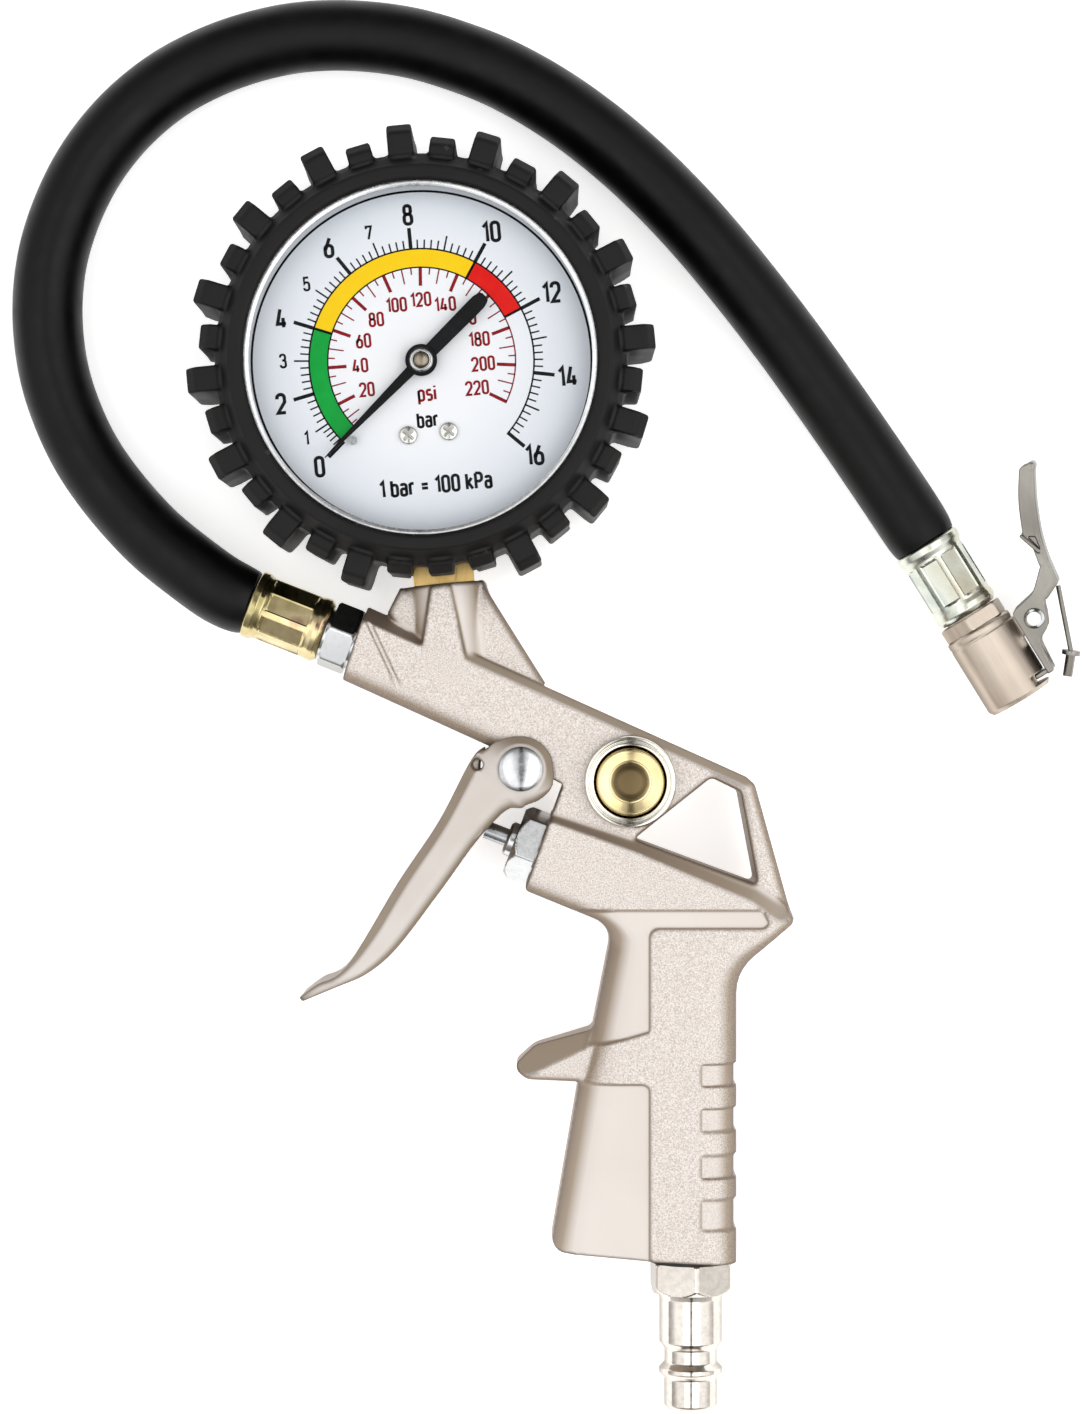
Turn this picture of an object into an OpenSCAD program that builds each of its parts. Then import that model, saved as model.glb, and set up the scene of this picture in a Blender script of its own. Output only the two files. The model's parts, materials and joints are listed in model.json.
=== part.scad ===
// Tyre inflator with a round dial gauge and a clip-on chuck hose, lying flat with the dial up.
// Every size is in millimetres. Z is height above the bench.
// Positions on the tool are taken from the trigger's pivot, then moved by place_x and place_y.

/* [Layout] */
// shift of the trigger pivot along X in the shared frame
place_x = 5.6; // [-20:0.1:20]
// shift of the trigger pivot along Y in the shared frame
place_y = 0.6; // [-20:0.1:20]
// height of the tool's middle plane above the bench
mid_z = 11; // [9:0.5:16]

/* [Gun body] */
// half thickness of the upper beam
beam_half = 8.2; // [6:0.1:9]
// half thickness of the plate around the window
plate_half = 7.5; // [5:0.1:9]
// half thickness of the two webs beside the gauge boss
web_half = 4.5; // [3:0.1:6]
// half thickness of the valve chamber
chamber_half = 10.5; // [9:0.1:12]
// half thickness of the grip
grip_half = 11; // [9:0.1:12]
// width of the grip's air tube
grip_w = 15.8; // [14:0.1:18]
// corner radius of the grip's air tube
grip_r = 6; // [3:0.5:7]
// width of the bevel along the body's long edges
body_bevel = 2.2; // [0.5:0.1:3]
// depth of the smooth recessed panels
panel_depth = 0.8; // [0.3:0.1:1.5]
// radius of the main air passage
air_r = 3; // [2:0.1:4]

/* [Gauge] */
// gauge centre along X from the trigger pivot
gauge_u = -18; // [-30:0.1:0]
// gauge centre along Y from the trigger pivot
gauge_v = 74.2; // [60:0.1:90]
// lean of the gauge to the left
gauge_tilt = 5.5; // [0:0.5:15]
// case outer radius
case_r = 34; // [28:0.1:40]
// case wall
case_wall = 0.8; // [0.5:0.1:1.5]
// radius that the dial shows inside the bezel
sight_r = 31.6; // [26:0.1:36]
// dial radius
dial_r = 32.9; // [26:0.1:36]
// rubber boot height
boot_h = 31; // [28:0.5:36]
// radius of the boot between its lugs
valley_r = 37.3; // [35.5:0.1:40]
// radius of the tall lugs
tall_r = 43; // [40:0.1:46]
// radius of the short lugs
short_r = 40.7; // [38:0.1:44]
// width of one lug
lug_w = 4.6; // [3:0.1:6]
// pointer length from the hub to the tip
pointer_l = 25; // [20:0.5:28]
// dial angle of the pointer at rest
pointer_rest = 220.5; // [200:0.5:260]

/* [Trigger and valve] */
// half width of the trigger outside its cheeks
trigger_half = 10.5; // [9:0.1:10.8]
// thickness of a trigger cheek
cheek_t = 2; // [1:0.1:3]
// radius of the trigger's knuckle
knuckle_r = 7; // [5:0.1:8]
// radius of the trigger pin
pin_r = 2; // [1.5:0.1:3]
// running gap round a shaft
run_gap = 0.06; // [0.02:0.01:0.1]
// radius of the valve stem
stem_r = 1.65; // [1.2:0.05:2.5]
// across flats of the valve nut
valve_af = 12.5; // [12:0.5:17]
// turn of the valve nut's hexagon about its own axis
valve_roll = 17; // [0:1:30]

/* [Bleed button] */
// button centre along X from the trigger pivot
bleed_u = 20; // [15:0.1:25]
// button centre along Y from the trigger pivot
bleed_v = -2.4; // [-6:0.1:2]
// outer radius of the chrome ring
ring_r = 8.4; // [6:0.1:9]
// radius of the brass button
button_r = 6.3; // [4:0.1:7]

/* [Inlet plug] */
// plug axis along X from the trigger pivot
plug_u = 31.4; // [28:0.1:35]
// lower end of the grip along Y
grip_end = -90.7; // [-100:0.1:-80]
// radius of the plug's barrel and collar
plug_r = 6; // [5:0.1:8]
// radius of the plug's nose
nose_r = 5; // [4:0.1:6]
// across flats of the plug's hexagon
plug_af = 14; // [12:0.5:17]
// turn of the plug's hexagon about its own axis
plug_roll = -6; // [-30:1:30]

/* [Hose and chuck] */
// hose outer radius
hose_r = 6.5; // [5:0.1:8]
// chuck axis height above the bench
chuck_z = 7; // [6.6:0.1:12]
// chuck body radius
chuck_r = 6.5; // [5:0.1:8]
// across flats of the two hose nuts
hose_af = 11.5; // [10:0.5:13]
// turn of the nut at the gun's end of the hose
hose_roll = 11; // [0:1:30]
// turn of the nut at the chuck's end of the hose
fitting_roll = 17; // [0:1:30]
// radius of the chuck's valve mouth
mouth_r = 4.25; // [4:0.05:4.6]
// roll of the lever round the chuck's axis
lever_roll = 12; // [0:1:30]

/* [Display] */
// sub-part to show

/* [Hidden] */
$fn = 64;
port = [-30.7, 23.0];
port_a = 158.5;
valve_p = [3.1, -15.0];
valve_a = -20.74;
chuck_p = [75.25, 41.86];
chuck_a = -58.3;
pivot_t = 22.3;
pivot_s = 10.2;
stem_local = 40.4;
case_floor = 2;
case_h = 26.4;
dial_z = 22.2;
dial_t = 0.5;
lens_z = 26.4;
screw_spot = [3.7, -13.2];
stop_spot = [-13.8, -13.2];
sector_spot = [0, -16.5];
link_arm = 6;
tip_spot = [21.4, -5.2];
plates_z = [13.5, 20];
plate_size = [14.4, 27.1];
bourdon_r = 21.8;
bourdon_w = 2.4;
bourdon_h = 8;
bourdon_sweep = 272;
notches = [[-57.8, 3.9], [-66.1, 4.1], [-74.6, 4], [-84.1, 5.4]];
notch_left = 32.8;
right_web = [[-6.7, 34.4], [4.4, 15.7], [-4, 14], [-12, 16]];
left_web = [[-24.6, 29.3], [-22, 33], [-18, 32], [-18, 22]];
rear_port = [10.9, -17.9];
ferrule_l = 15;
ferrule_at = 20.8;

beam_pts = [[-32.8, 16.4], [-5.4, 3.9], [7.8, -3.2], [43, -3], [41.6, -1.6], [-28.2, 29.8]];
plate_outer = [[5.5, -8.5], [44, -28], [49.8, -27], [43, -3], [40, -1], [7.8, -3.2]];
window_pts = [[20.6, -13], [34.3, -1.5], [36.1, -1.7], [40.4, -4.1], [43, -21.5]];
chamber_pts = [
    [5.9, -8.6], [0.6, -22.2], [13.5, -27.5], [30, -33.5], [44.3, -32.2], [49.1, -29.3],
    [49.8, -27.4], [47, -24]
];
fin_pts = [
    [5.6, -87], [7.2, -89.4], [28, -89.8], [28, -28], [16.8, -28], [16.1, -32.8],
    [13.1, -48.1], [10.6, -57.4]
];
rest_pts = [[-1.1, -53.7], [0.5, -55.3], [10.6, -58.8], [20, -58], [20, -46], [13.1, -46.8], [0.8, -52]];
trigger_pts = [
    [-8.9, 1.9], [-15, -9.6], [-22.4, -20.7], [-31.7, -35.9], [-37.2, -39.3], [-40.4, -41.7],
    [-39.8, -42.4], [-33.5, -39.8], [-28, -37.4], [-22.4, -32.8], [-15, -23.5], [-7.6, -13.3],
    [-1.7, -7], [0, -7], [0, 7], [-6, 3.6]
];
channel_pts = [
    [-6.3, 6], [-6.7, 0.9], [-12.8, -10.8], [-20.2, -22], [-27.5, -34.2], [-25, -42],
    [-5, -24], [12, -10], [12, 9], [-2, 9]
];
web_pts = [
    [-2.2, 25.3], [3.6, 21.9], [9.6, 19.3], [14.4, 18.1], [18.9, 17.5], [20.6, 13.9],
    [19.4, 13.4], [18, 16.3], [14.1, 16.9], [9.2, 18.1], [3, 20.8], [-2.8, 24.4]
];
flange_pts = [
    [13.6, 17.2], [18.2, 12.4], [19.3, 7.1], [32.4, 7.1], [32.4, 8.3], [26.4, 8.8],
    [24.9, 11.6], [22.6, 12.6], [20.7, 13.2], [18.9, 17.4], [14.4, 18]
];
thumb_flange_pts = [
    [-2.6, 24.6], [3.1, 21], [9.3, 18.3], [8.6, 16.2], [2.4, 18.8], [-3, 22.3]
];

hose_path = [
    [-50.06, 30.63, 11], [-52.9, 31.7, 11], [-56.4, 33.6, 10.8], [-61.4, 37.2, 10.2],
    [-67.3, 41.9, 9.2], [-72.3, 46.9, 8.2], [-77.3, 52.9, 7.4], [-81.4, 59.1, 6.9],
    [-84.6, 65.9, 6.7], [-86.9, 73, 6.6], [-88.1, 80.6, 6.6], [-88.2, 88.4, 6.6],
    [-87.1, 96.1, 6.6], [-84.7, 103.6, 6.6], [-81.3, 110.7, 6.6], [-76.9, 117.1, 6.6],
    [-71.5, 122.8, 6.6], [-65.1, 127.7, 6.6], [-58.1, 131.4, 6.6], [-51.1, 134, 6.6],
    [-43.5, 135.8, 6.6], [-35.8, 136.5, 6.6], [-28, 136.2, 6.6], [-20.5, 135.1, 6.6],
    [-13, 133, 6.6], [-4.6, 129.8, 6.6], [4, 125.2, 6.6],
    [12.5, 119.4, 6.6], [21.5, 111.9, 6.6], [30.7, 102.7, 6.6], [39.8, 92.1, 6.6],
    [49.5, 79.6, 6.6], [59, 66.3, 6.6], [67.4, 54, 6.8], [72.6, 46.1, 7], [75.25, 41.86, 7]
];

module placed() {
    translate([place_x, place_y, 0]) children();
}

module along(p, z, a) {
    translate([p[0], p[1], z]) rotate([0, 0, a]) rotate([0, 90, 0]) children();
}

module in_gauge() {
    placed() translate([gauge_u, gauge_v, 0]) rotate([0, 0, gauge_tilt]) children();
}

module on_port() {
    placed() along(port, mid_z, port_a) children();
}

module on_valve() {
    placed() along(valve_p, mid_z, valve_a) children();
}

module on_plug() {
    placed() along([plug_u, grip_end], mid_z, -90) children();
}

module on_chuck() {
    placed() along(chuck_p, chuck_z, chuck_a) children();
}

module in_lever() {
    on_chuck() rotate([0, 0, lever_roll]) children();
}

module across(pts, low, high) {
    rotate([0, -90, 0]) translate([0, 0, low]) linear_extrude(high - low) polygon(pts);
}

module slab(pts, half) {
    translate([0, 0, mid_z - half]) linear_extrude(2 * half) polygon(pts);
}

module bevel_slab(pts, half, bevel) {
    hull() {
        slab(pts, half - bevel);
        translate([0, 0, mid_z - half]) linear_extrude(2 * half) offset(delta = -bevel) polygon(pts);
    }
}

module hexagon(af, h, roll) {
    rotate([0, 0, roll]) cylinder(r = af / 2 / cos(30), h = h, $fn = 6);
}

module ring(ro, ri, h) {
    difference() {
        cylinder(r = ro, h = h);
        translate([0, 0, -1]) cylinder(r = ri, h = h + 2);
    }
}

module torus(r, w) {
    rotate_extrude() translate([r, 0]) circle(r = w, $fn = 24);
}

function coil_points(r, w, h, turns, steps, sides) = [
    for (i = [0 : steps], j = [0 : sides - 1])
        let (a = 360 * turns * i / steps, b = 360 * j / sides, q = r + w * cos(b))
        [q * cos(a), q * sin(a), h * i / steps + w * sin(b)]
];

function tube_faces(rings, sides) = concat(
    [[for (j = [0 : sides - 1]) j]],
    [for (i = [0 : rings - 2], j = [0 : sides - 1])
        let (k = (j + 1) % sides)
        [i * sides + j, (i + 1) * sides + j, (i + 1) * sides + k, i * sides + k]],
    [[for (j = [sides - 1 : -1 : 0]) (rings - 1) * sides + j]]
);

module coil(r, w, h, turns) {
    steps = turns * 14;
    polyhedron(
        points = coil_points(r, w, h, turns, steps, 6),
        faces = tube_faces(steps + 1, 6),
        convexity = 8
    );
}

// Gun body: beam, window plate, valve chamber, grip tube, fin, finger rest and gauge boss.

module grip_tube() {
    along([plug_u + 0.36, -26], mid_z, -90) hull() {
        for (sx = [-1, 1], sy = [-1, 1])
            translate([sx * (grip_half - grip_r), sy * (grip_w / 2 - grip_r), 0])
                cylinder(r = grip_r, h = -26 - grip_end, $fn = 32);
    }
}

module gauge_boss() {
    translate([gauge_u, gauge_v, mid_z]) rotate([0, 0, gauge_tilt]) {
        intersection() {
            translate([0, -stem_local, 0]) rotate([90, 0, 0]) cylinder(r = 8.6, h = 18);
            translate([0, -stem_local - 9, 0]) cube([15.2, 20, 2 * beam_half], center = true);
        }
    }
}

module body_solid() {
    bevel_slab(beam_pts, beam_half, body_bevel);
    difference() {
        slab(plate_outer, plate_half);
        slab(window_pts, plate_half + 1);
    }
    bevel_slab(chamber_pts, chamber_half, body_bevel);
    grip_tube();
    bevel_slab(fin_pts, 9, 4);
    bevel_slab(rest_pts, 10, 3);
    gauge_boss();
    slab(right_web, web_half);
    slab(left_web, web_half);
    translate([0, 0, mid_z - beam_half]) cylinder(r = 5.5, h = 2 * beam_half);
    translate([bleed_u, bleed_v, mid_z - beam_half]) cylinder(r = ring_r, h = 2 * beam_half + 0.3);
}

module body_air_ways() {
    along(port, mid_z, port_a) translate([0, 0, -8]) cylinder(r = 4.9, h = 9);
    along(port, mid_z, port_a) translate([0, 0, -54]) cylinder(r = air_r, h = 50);
    translate([gauge_u, gauge_v, mid_z]) rotate([0, 0, gauge_tilt]) rotate([90, 0, 0]) {
        translate([0, 0, stem_local - 1]) cylinder(r = 4.85, h = 12);
        translate([0, 0, stem_local + 9]) cylinder(r = 2.4, h = 9);
    }
    along(rear_port, mid_z, 90.5) cylinder(r = 2.4, h = 25);
    along(valve_p, mid_z, valve_a) {
        translate([0, 0, -1]) cylinder(r = 5, h = 8.05);
        cylinder(r = 4.6, h = 14);
        translate([0, 0, 13.5]) cylinder(r = 5.6, h = 19.5);
    }
    along([plug_u, -24], mid_z, -90) cylinder(r = 5, h = 58);
    along([plug_u, grip_end + 11.5], mid_z, -90) cylinder(r = 6.6, h = 14);
    translate([bleed_u, bleed_v, 0]) {
        translate([0, 0, 13]) cylinder(r = 7.05, h = 8);
        translate([0, 0, 1]) cylinder(r = 3.6, h = 11);
        translate([0, 0, 5]) cylinder(r = 2 + run_gap, h = 10);
    }
    translate([0, 0, -1]) cylinder(r = pin_r, h = 30);
}

module body_panels() {
    top = mid_z + grip_half - panel_depth;
    for (z = [top, mid_z - grip_half - 2 + panel_depth]) {
        translate([14.3, -29.1, z]) cube([30.5, 3.2, 2]);
        for (notch = notches) translate([notch_left, notch[0], z]) cube([8, notch[1], 2]);
    }
}

module gun_body() {
    color("#e1d4c8") placed() difference() {
        body_solid();
        body_air_ways();
        body_panels();
    }
}

// Gauge: socket, case, boot, bezel, lens, dial, movement and pointer.

module gauge_socket() {
    color("#d6b46e") in_gauge() difference() {
        union() {
            translate([-5.5, -stem_local, mid_z - 5.5]) cube([11, 6.6, 11]);
            translate([0, -stem_local, mid_z]) rotate([90, 0, 0]) cylinder(r = 4.8, h = 10);
            translate([-6, -33.9, 5]) cube([12, 23.9, 8.5]);
        }
        translate([0, -20, mid_z - 1.5]) rotate([90, 0, 0]) cylinder(r = 1.5, h = 40);
    }
}

module gauge_case() {
    color("#5a5c60") in_gauge() difference() {
        translate([0, 0, case_floor]) cylinder(r = case_r, h = case_h, $fn = 96);
        translate([0, 0, case_floor + case_wall]) cylinder(r = case_r - case_wall, h = case_h, $fn = 96);
        translate([-5.6, -40, mid_z - 5.6]) cube([11.2, 10, 11.2]);
        translate([-6.1, -34.5, 4.9]) cube([12.2, 4, 8.7]);
    }
}

module boot_lugs(r, angles, w) {
    intersection() {
        rotate_extrude($fn = 96) polygon([
            [30, 3], [r - 2, 3], [r, 5], [r, 24.5], [r - 1.2, 27.5], [36.2, 29], [30, 29]
        ]);
        linear_extrude(31) for (a = angles) rotate(a) translate([30, -w / 2]) square([16, w]);
    }
}

module gauge_boot() {
    tall = [for (k = [0 : 15]) if (k != 8) 90 + 22.5 * k];
    short = [for (k = [0 : 15]) if (k != 7 && k != 8) 101.25 + 22.5 * k];
    color("#1d1b1c") in_gauge() difference() {
        union() {
            rotate_extrude($fn = 96) polygon([
                [28.5, 0], [36, 0], [valley_r, 1.3], [valley_r, 27], [36, 29], [34.4, boot_h],
                [33, boot_h], [32.6, 30.4], [33.6, 29.5], [34.9, 29.5], [34.9, 23.8],
                [34.1, 23.8], [34.1, 2], [28.5, 2]
            ]);
            boot_lugs_trimmed(tall, short);
        }
        translate([-6.2, -41, -1]) cube([12.4, 9.5, 18.2]);
    }
}

module boot_lugs_trimmed(tall, short) {
    difference() {
        union() {
            boot_lugs(tall_r, tall, lug_w);
            boot_lugs(short_r, short, lug_w);
            boot_lugs(39.2, [258.75, 270, 281.25], lug_w);
        }
        translate([0, 0, -1]) cylinder(r = 36.5, h = 40, $fn = 96);
    }
}

module gauge_bezel() {
    color("#c9ccd0") in_gauge() rotate_extrude($fn = 96) polygon([
        [34.05, 24], [34.8, 24], [34.8, 28.6], [34.1, 29.3], [sight_r, 29.3],
        [sight_r, 28.7], [34.05, 28.7]
    ]);
}

module gauge_lens() {
    color("#dfe8ec", 0.3) in_gauge() translate([0, 0, lens_z]) cylinder(r = 33.1, h = 2, $fn = 96);
}

module gauge_lens_gasket() {
    color("#202022") in_gauge() translate([0, 0, lens_z + 2]) ring(33.1, 31.9, 0.3);
}

module gauge_spacer_ring() {
    dial_top = dial_z + dial_t;
    color("#23252a") in_gauge() translate([0, 0, dial_top]) ring(33.1, 32.3, lens_z - dial_top);
}

module gauge_dial() {
    color("#e3edf5") in_gauge() translate([0, 0, dial_z]) difference() {
        cylinder(r = dial_r, h = dial_t, $fn = 96);
        translate([0, 0, -1]) cylinder(r = 1, h = 3);
        for (s = [-1, 1]) translate([s * screw_spot[0], screw_spot[1], -1]) cylinder(r = 0.9, h = 3);
        translate([stop_spot[0], stop_spot[1], -1]) cylinder(r = 0.5, h = 3);
    }
}

module dial_screws() {
    color("#9a9da1") in_gauge() for (s = [-1, 1])
        translate([s * screw_spot[0], screw_spot[1], dial_z + dial_t]) difference() {
            union() {
                cylinder(r1 = 1.3, r2 = 1.1, h = 0.6, $fn = 32);
                translate([0, 0, -1.8]) cylinder(r = 0.8, h = 1.9, $fn = 32);
            }
            translate([-2, -0.15, 0.35]) cube([4, 0.3, 1]);
        }
}

module pointer_stop_pin() {
    color("#1a1a1a") in_gauge() translate([stop_spot[0], stop_spot[1], dial_z - 0.5]) {
        cylinder(r = 0.5, h = 1, $fn = 32);
        translate([0, 0, 1]) cylinder(r = 0.75, h = 1.6, $fn = 32);
    }
}

module bourdon_tube() {
    wall = 0.4;
    color("#c8963c") in_gauge() rotate([0, 0, -8]) difference() {
        rotate_extrude(angle = bourdon_sweep) translate([bourdon_r, bourdon_h])
            square([bourdon_w, bourdon_h]);
        rotate_extrude(angle = bourdon_sweep) translate([bourdon_r + wall, bourdon_h + wall])
            square([bourdon_w - 2 * wall, bourdon_h - 2 * wall]);
    }
}

module bourdon_tip() {
    color("#c8a050") in_gauge() rotate([0, 0, -10]) difference() {
        translate([bourdon_r - 1.2, -2, bourdon_h]) cube([4.6, 4, 9.9]);
        rotate([0, 0, 2]) translate([0, 0, bourdon_h - 1]) rotate_extrude(angle = bourdon_sweep - 8)
            translate([bourdon_r, 0]) square([bourdon_w, bourdon_h + 1]);
    }
}

module movement_lower_plate() {
    color("#cfa85a") in_gauge() translate([0, 0, plates_z[0]]) difference() {
        translate([-plate_size[0] / 2, -20.3, 0]) cube([plate_size[0], plate_size[1], 1]);
        translate([0, 0, -0.5]) cylinder(r = 0.65, h = 2, $fn = 32);
        translate([0, sector_spot[1], -0.5]) cylinder(r = 0.75, h = 2, $fn = 32);
    }
}

module movement_upper_plate() {
    color("#cfa85a") in_gauge() translate([0, 0, plates_z[1]]) difference() {
        union() {
            translate([-plate_size[0] / 2, -20.3, 0]) cube([plate_size[0], plate_size[1], 0.8]);
            for (s = [-1, 1]) translate([s * screw_spot[0], screw_spot[1], 0])
                cylinder(r = 1.6, h = dial_z - plates_z[1], $fn = 32);
        }
        translate([0, 0, -1]) cylinder(r = 0.65, h = 3, $fn = 32);
        translate([0, sector_spot[1], -1]) cylinder(r = 0.75, h = 3, $fn = 32);
        for (s = [-1, 1]) translate([s * screw_spot[0], screw_spot[1], 0.9])
            cylinder(r = 0.8, h = 3, $fn = 32);
    }
}

module movement_pillars() {
    low = plates_z[0] + 1;
    color("#d9b66a") in_gauge() for (s = [-1, 1], y = [4.6, -19.1])
        translate([s * 6, y, low]) cylinder(r = 1.1, h = plates_z[1] - low, $fn = 32);
}

module sector_gear() {
    color("#d9b66a") in_gauge() translate([sector_spot[0], sector_spot[1], 0]) {
        translate([0, 0, plates_z[0] + 0.1]) cylinder(r = 0.7, h = 7.1, $fn = 32);
        translate([0, 0, 17.2]) linear_extrude(1) difference() {
            union() {
                circle(r = 2.2);
                polygon([[1.6, 0], [6.5, 12.9], [3, 14.3], [-3, 14.3], [-1, 0]]);
                polygon([[0, 1.2], [0, -1.2], [link_arm, -1], [link_arm, 1]]);
                translate([link_arm, 0]) circle(r = 1.1, $fn = 32);
                intersection() {
                    circle(r = 14.8, $fn = 96);
                    polygon([[0, 9], [-3.4, 13.4], [-3, 16], [7, 16], [8.4, 13.4]]);
                }
            }
            translate([1.6, 9]) circle(r = 1.7, $fn = 32);
        }
        translate([link_arm, 0, 18]) cylinder(r = 0.34, h = 1.3, $fn = 24);
    }
}

module movement_link() {
    color("#b98f45") in_gauge() translate([0, 0, 18.4]) linear_extrude(0.6) difference() {
        union() {
            translate([link_arm, sector_spot[1]]) circle(r = 1.1, $fn = 32);
            translate(tip_spot) circle(r = 1.1, $fn = 32);
            polygon([[6.5, -17], [5.5, -16], [20.9, -4.6], [21.9, -5.8]]);
        }
        translate([link_arm, sector_spot[1]]) circle(r = 0.4, $fn = 32);
        translate(tip_spot) circle(r = 0.4, $fn = 32);
    }
}

module pinion_shaft() {
    color("#b9bcc0") in_gauge() {
        translate([0, 0, plates_z[0] + 0.1]) cylinder(r = 0.6, h = 11.8, $fn = 32);
        translate([0, 0, 16.9]) cylinder(r = 1.3, h = 1.6, $fn = 32);
    }
}

module pointer() {
    color("#17171a") in_gauge() difference() {
        union() {
            translate([0, 0, 24.4]) cylinder(r = 2.9, h = 0.8);
            translate([0, 0, 24.6]) linear_extrude(0.4) rotate(pointer_rest) union() {
                polygon([[0, -1.5], [0, 1.5], [14, 1.15], [pointer_l, 0.12], [pointer_l, -0.12], [14, -1.15]]);
                translate([-13.2, -1.5]) square([13.2, 3]);
                translate([-13.2, 0]) circle(r = 1.5, $fn = 32);
            }
        }
        translate([0, 0, 24]) cylinder(r = 0.6, h = 3, $fn = 32);
    }
}

module pointer_cap() {
    color("#c9a45a") in_gauge() translate([0, 0, 25.2]) difference() {
        union() {
            cylinder(r = 2.2, h = 0.5);
            cylinder(r = 1.45, h = 0.9, $fn = 48);
        }
        translate([0, 0, -1]) cylinder(r = 0.6, h = 1.3, $fn = 32);
    }
}

module hairspring() {
    spiral = [for (i = [0 : 90]) let (a = 12 * i, r = 1.7 + 0.045 * i) [r * cos(a), r * sin(a)]];
    back = [for (i = [90 : -1 : 0]) let (a = 12 * i, r = 1.9 + 0.045 * i) [r * cos(a), r * sin(a)]];
    color("#c8963c") in_gauge() translate([0, 0, 15.2]) linear_extrude(0.8)
        polygon(concat(spiral, back));
}

// Hose and its two ends.

module hose_nut() {
    color("#cfd0cd") on_port() difference() {
        union() {
            translate([0, 0, -7]) cylinder(r = 4.85, h = 8);
            translate([0, 0, 0.3]) intersection() {
                hexagon(hose_af, 5, hose_roll);
                cylinder(r1 = 6.5, r2 = 9, h = 5);
                cylinder(r1 = 9, r2 = 6.5, h = 5);
            }
            translate([0, 0, 5]) cylinder(r = 4.6, h = 0.8);
        }
        translate([0, 0, -8]) cylinder(r = 2.5, h = 20);
    }
}

module ferrule(length) {
    difference() {
        rotate_extrude() polygon([
            [2.5, 0], [5.9, 0], [6.4, 0.6], [6.4, 1.7], [5.9, 2.6], [5.9, length - 2.6],
            [6.1, length - 1.9], [6.1, length - 0.8], [5.4, length], [2.5, length]
        ]);
        for (k = [0 : 7]) rotate([0, 0, 45 * k + 22.5]) translate([5.55, -1.5, 3.4])
            cube([2, 3, length - 6.8]);
    }
}

module gun_ferrule() {
    color("#b9a65a") on_port() translate([0, 0, ferrule_at]) rotate([180, 0, 0]) ferrule(ferrule_l);
}

module chuck_ferrule() {
    color("#c4c8b8") on_chuck() ferrule(ferrule_l + 0.4);
}

module hose() {
    sides = 12;
    last = len(hose_path) - 1;
    points = [
        for (i = [0 : last], j = [0 : sides - 1])
            let (
                a = hose_path[max(i - 1, 0)],
                b = hose_path[min(i + 1, last)],
                d = i == 0 ? [-0.9304, 0.3665, 0] : i == last ? [0.5255, -0.8508, 0] : b - a,
                t = d / norm(d),
                f = cross([0, 0, 1], t),
                s = f / norm(f),
                u = cross(t, s),
                g = 360 * j / sides
            )
            hose_path[i] + hose_r * (cos(g) * s + sin(g) * u)
    ];
    color("#232325") placed() polyhedron(points = points, faces = tube_faces(last + 1, sides), convexity = 6);
}

module chuck_hose_fitting() {
    color("#c2b6a6") on_chuck() difference() {
        union() {
            translate([0, 0, 15.4]) cylinder(r = 4.6, h = 0.4);
            translate([0, 0, 15.8]) hexagon(hose_af, 2.5, fitting_roll);
            translate([0, 0, 18.2]) cylinder(r = 3.9, h = 4);
        }
        translate([0, 0, 15]) cylinder(r = 2, h = 9);
    }
}

module chuck_body() {
    color("#cdbfae") {
        difference() {
            union() {
                on_chuck() rotate_extrude() polygon([
                    [0, 18.3], [6, 18.3], [chuck_r, 18.8], [chuck_r, 33.3], [5.9, 34.1], [0, 34.1]
                ]);
                in_lever() across([[20.3, 3], [24.3, 3], [24.3, pivot_s], [20.3, pivot_s]], -1.6, 1.6);
                in_lever() translate([-1.6, pivot_s, pivot_t]) rotate([0, 90, 0])
                    cylinder(r = 2, h = 3.2, $fn = 32);
            }
            on_chuck() {
                translate([0, 0, 18]) cylinder(r = 3.9, h = 4.2);
                translate([0, 0, 22]) cylinder(r = 2.2, h = 3);
                translate([0, 0, 23.6]) cylinder(r = 4.6, h = 3.4);
                translate([0, 0, 26]) cylinder(r = mouth_r, h = 10);
            }
            in_lever() translate([-8, 3.9, 31.3]) cube([16, 6, 1.9]);
            in_lever() translate([-3, pivot_s, pivot_t]) rotate([0, 90, 0])
                cylinder(r = 1, h = 6, $fn = 32);
        }
    }
}

module chuck_seal() {
    color("#2a2625") on_chuck() translate([0, 0, 23.6]) ring(4.6, 1.7, 3.3);
}

module chuck_depressor() {
    color("#b8a06a") on_chuck() {
        difference() {
            translate([0, 0, 22.6]) cylinder(r = 2.2, h = 0.9);
            for (k = [0 : 2]) rotate([0, 0, 120 * k]) translate([1.4, 0, 22])
                cylinder(r = 0.45, h = 3, $fn = 24);
        }
        translate([0, 0, 22.6]) cylinder(r = 0.8, h = 4.2, $fn = 32);
    }
}

module chuck_lever() {
    color("#b7b3ad") in_lever() difference() {
        union() {
            across(web_pts, -4.2, 4.2);
            across([[26, 7.1], [32.4, 7.1], [32.4, 8.1], [26, 8.1]], -4.2, 4.2);
            across([[31.5, 4.5], [32.4, 4.5], [32.4, 8], [31.5, 8]], -2.6, 2.6);
            for (s = [-1, 1]) {
                across(flange_pts, s < 0 ? -4.2 : 3.3, s < 0 ? -3.3 : 4.2);
                across(thumb_flange_pts, s < 0 ? -4.2 : 3.3, s < 0 ? -3.3 : 4.2);
            }
        }
        translate([-6, pivot_s, pivot_t]) rotate([0, 90, 0])
            cylinder(r = 1 + run_gap, h = 12, $fn = 32);
    }
}

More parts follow.
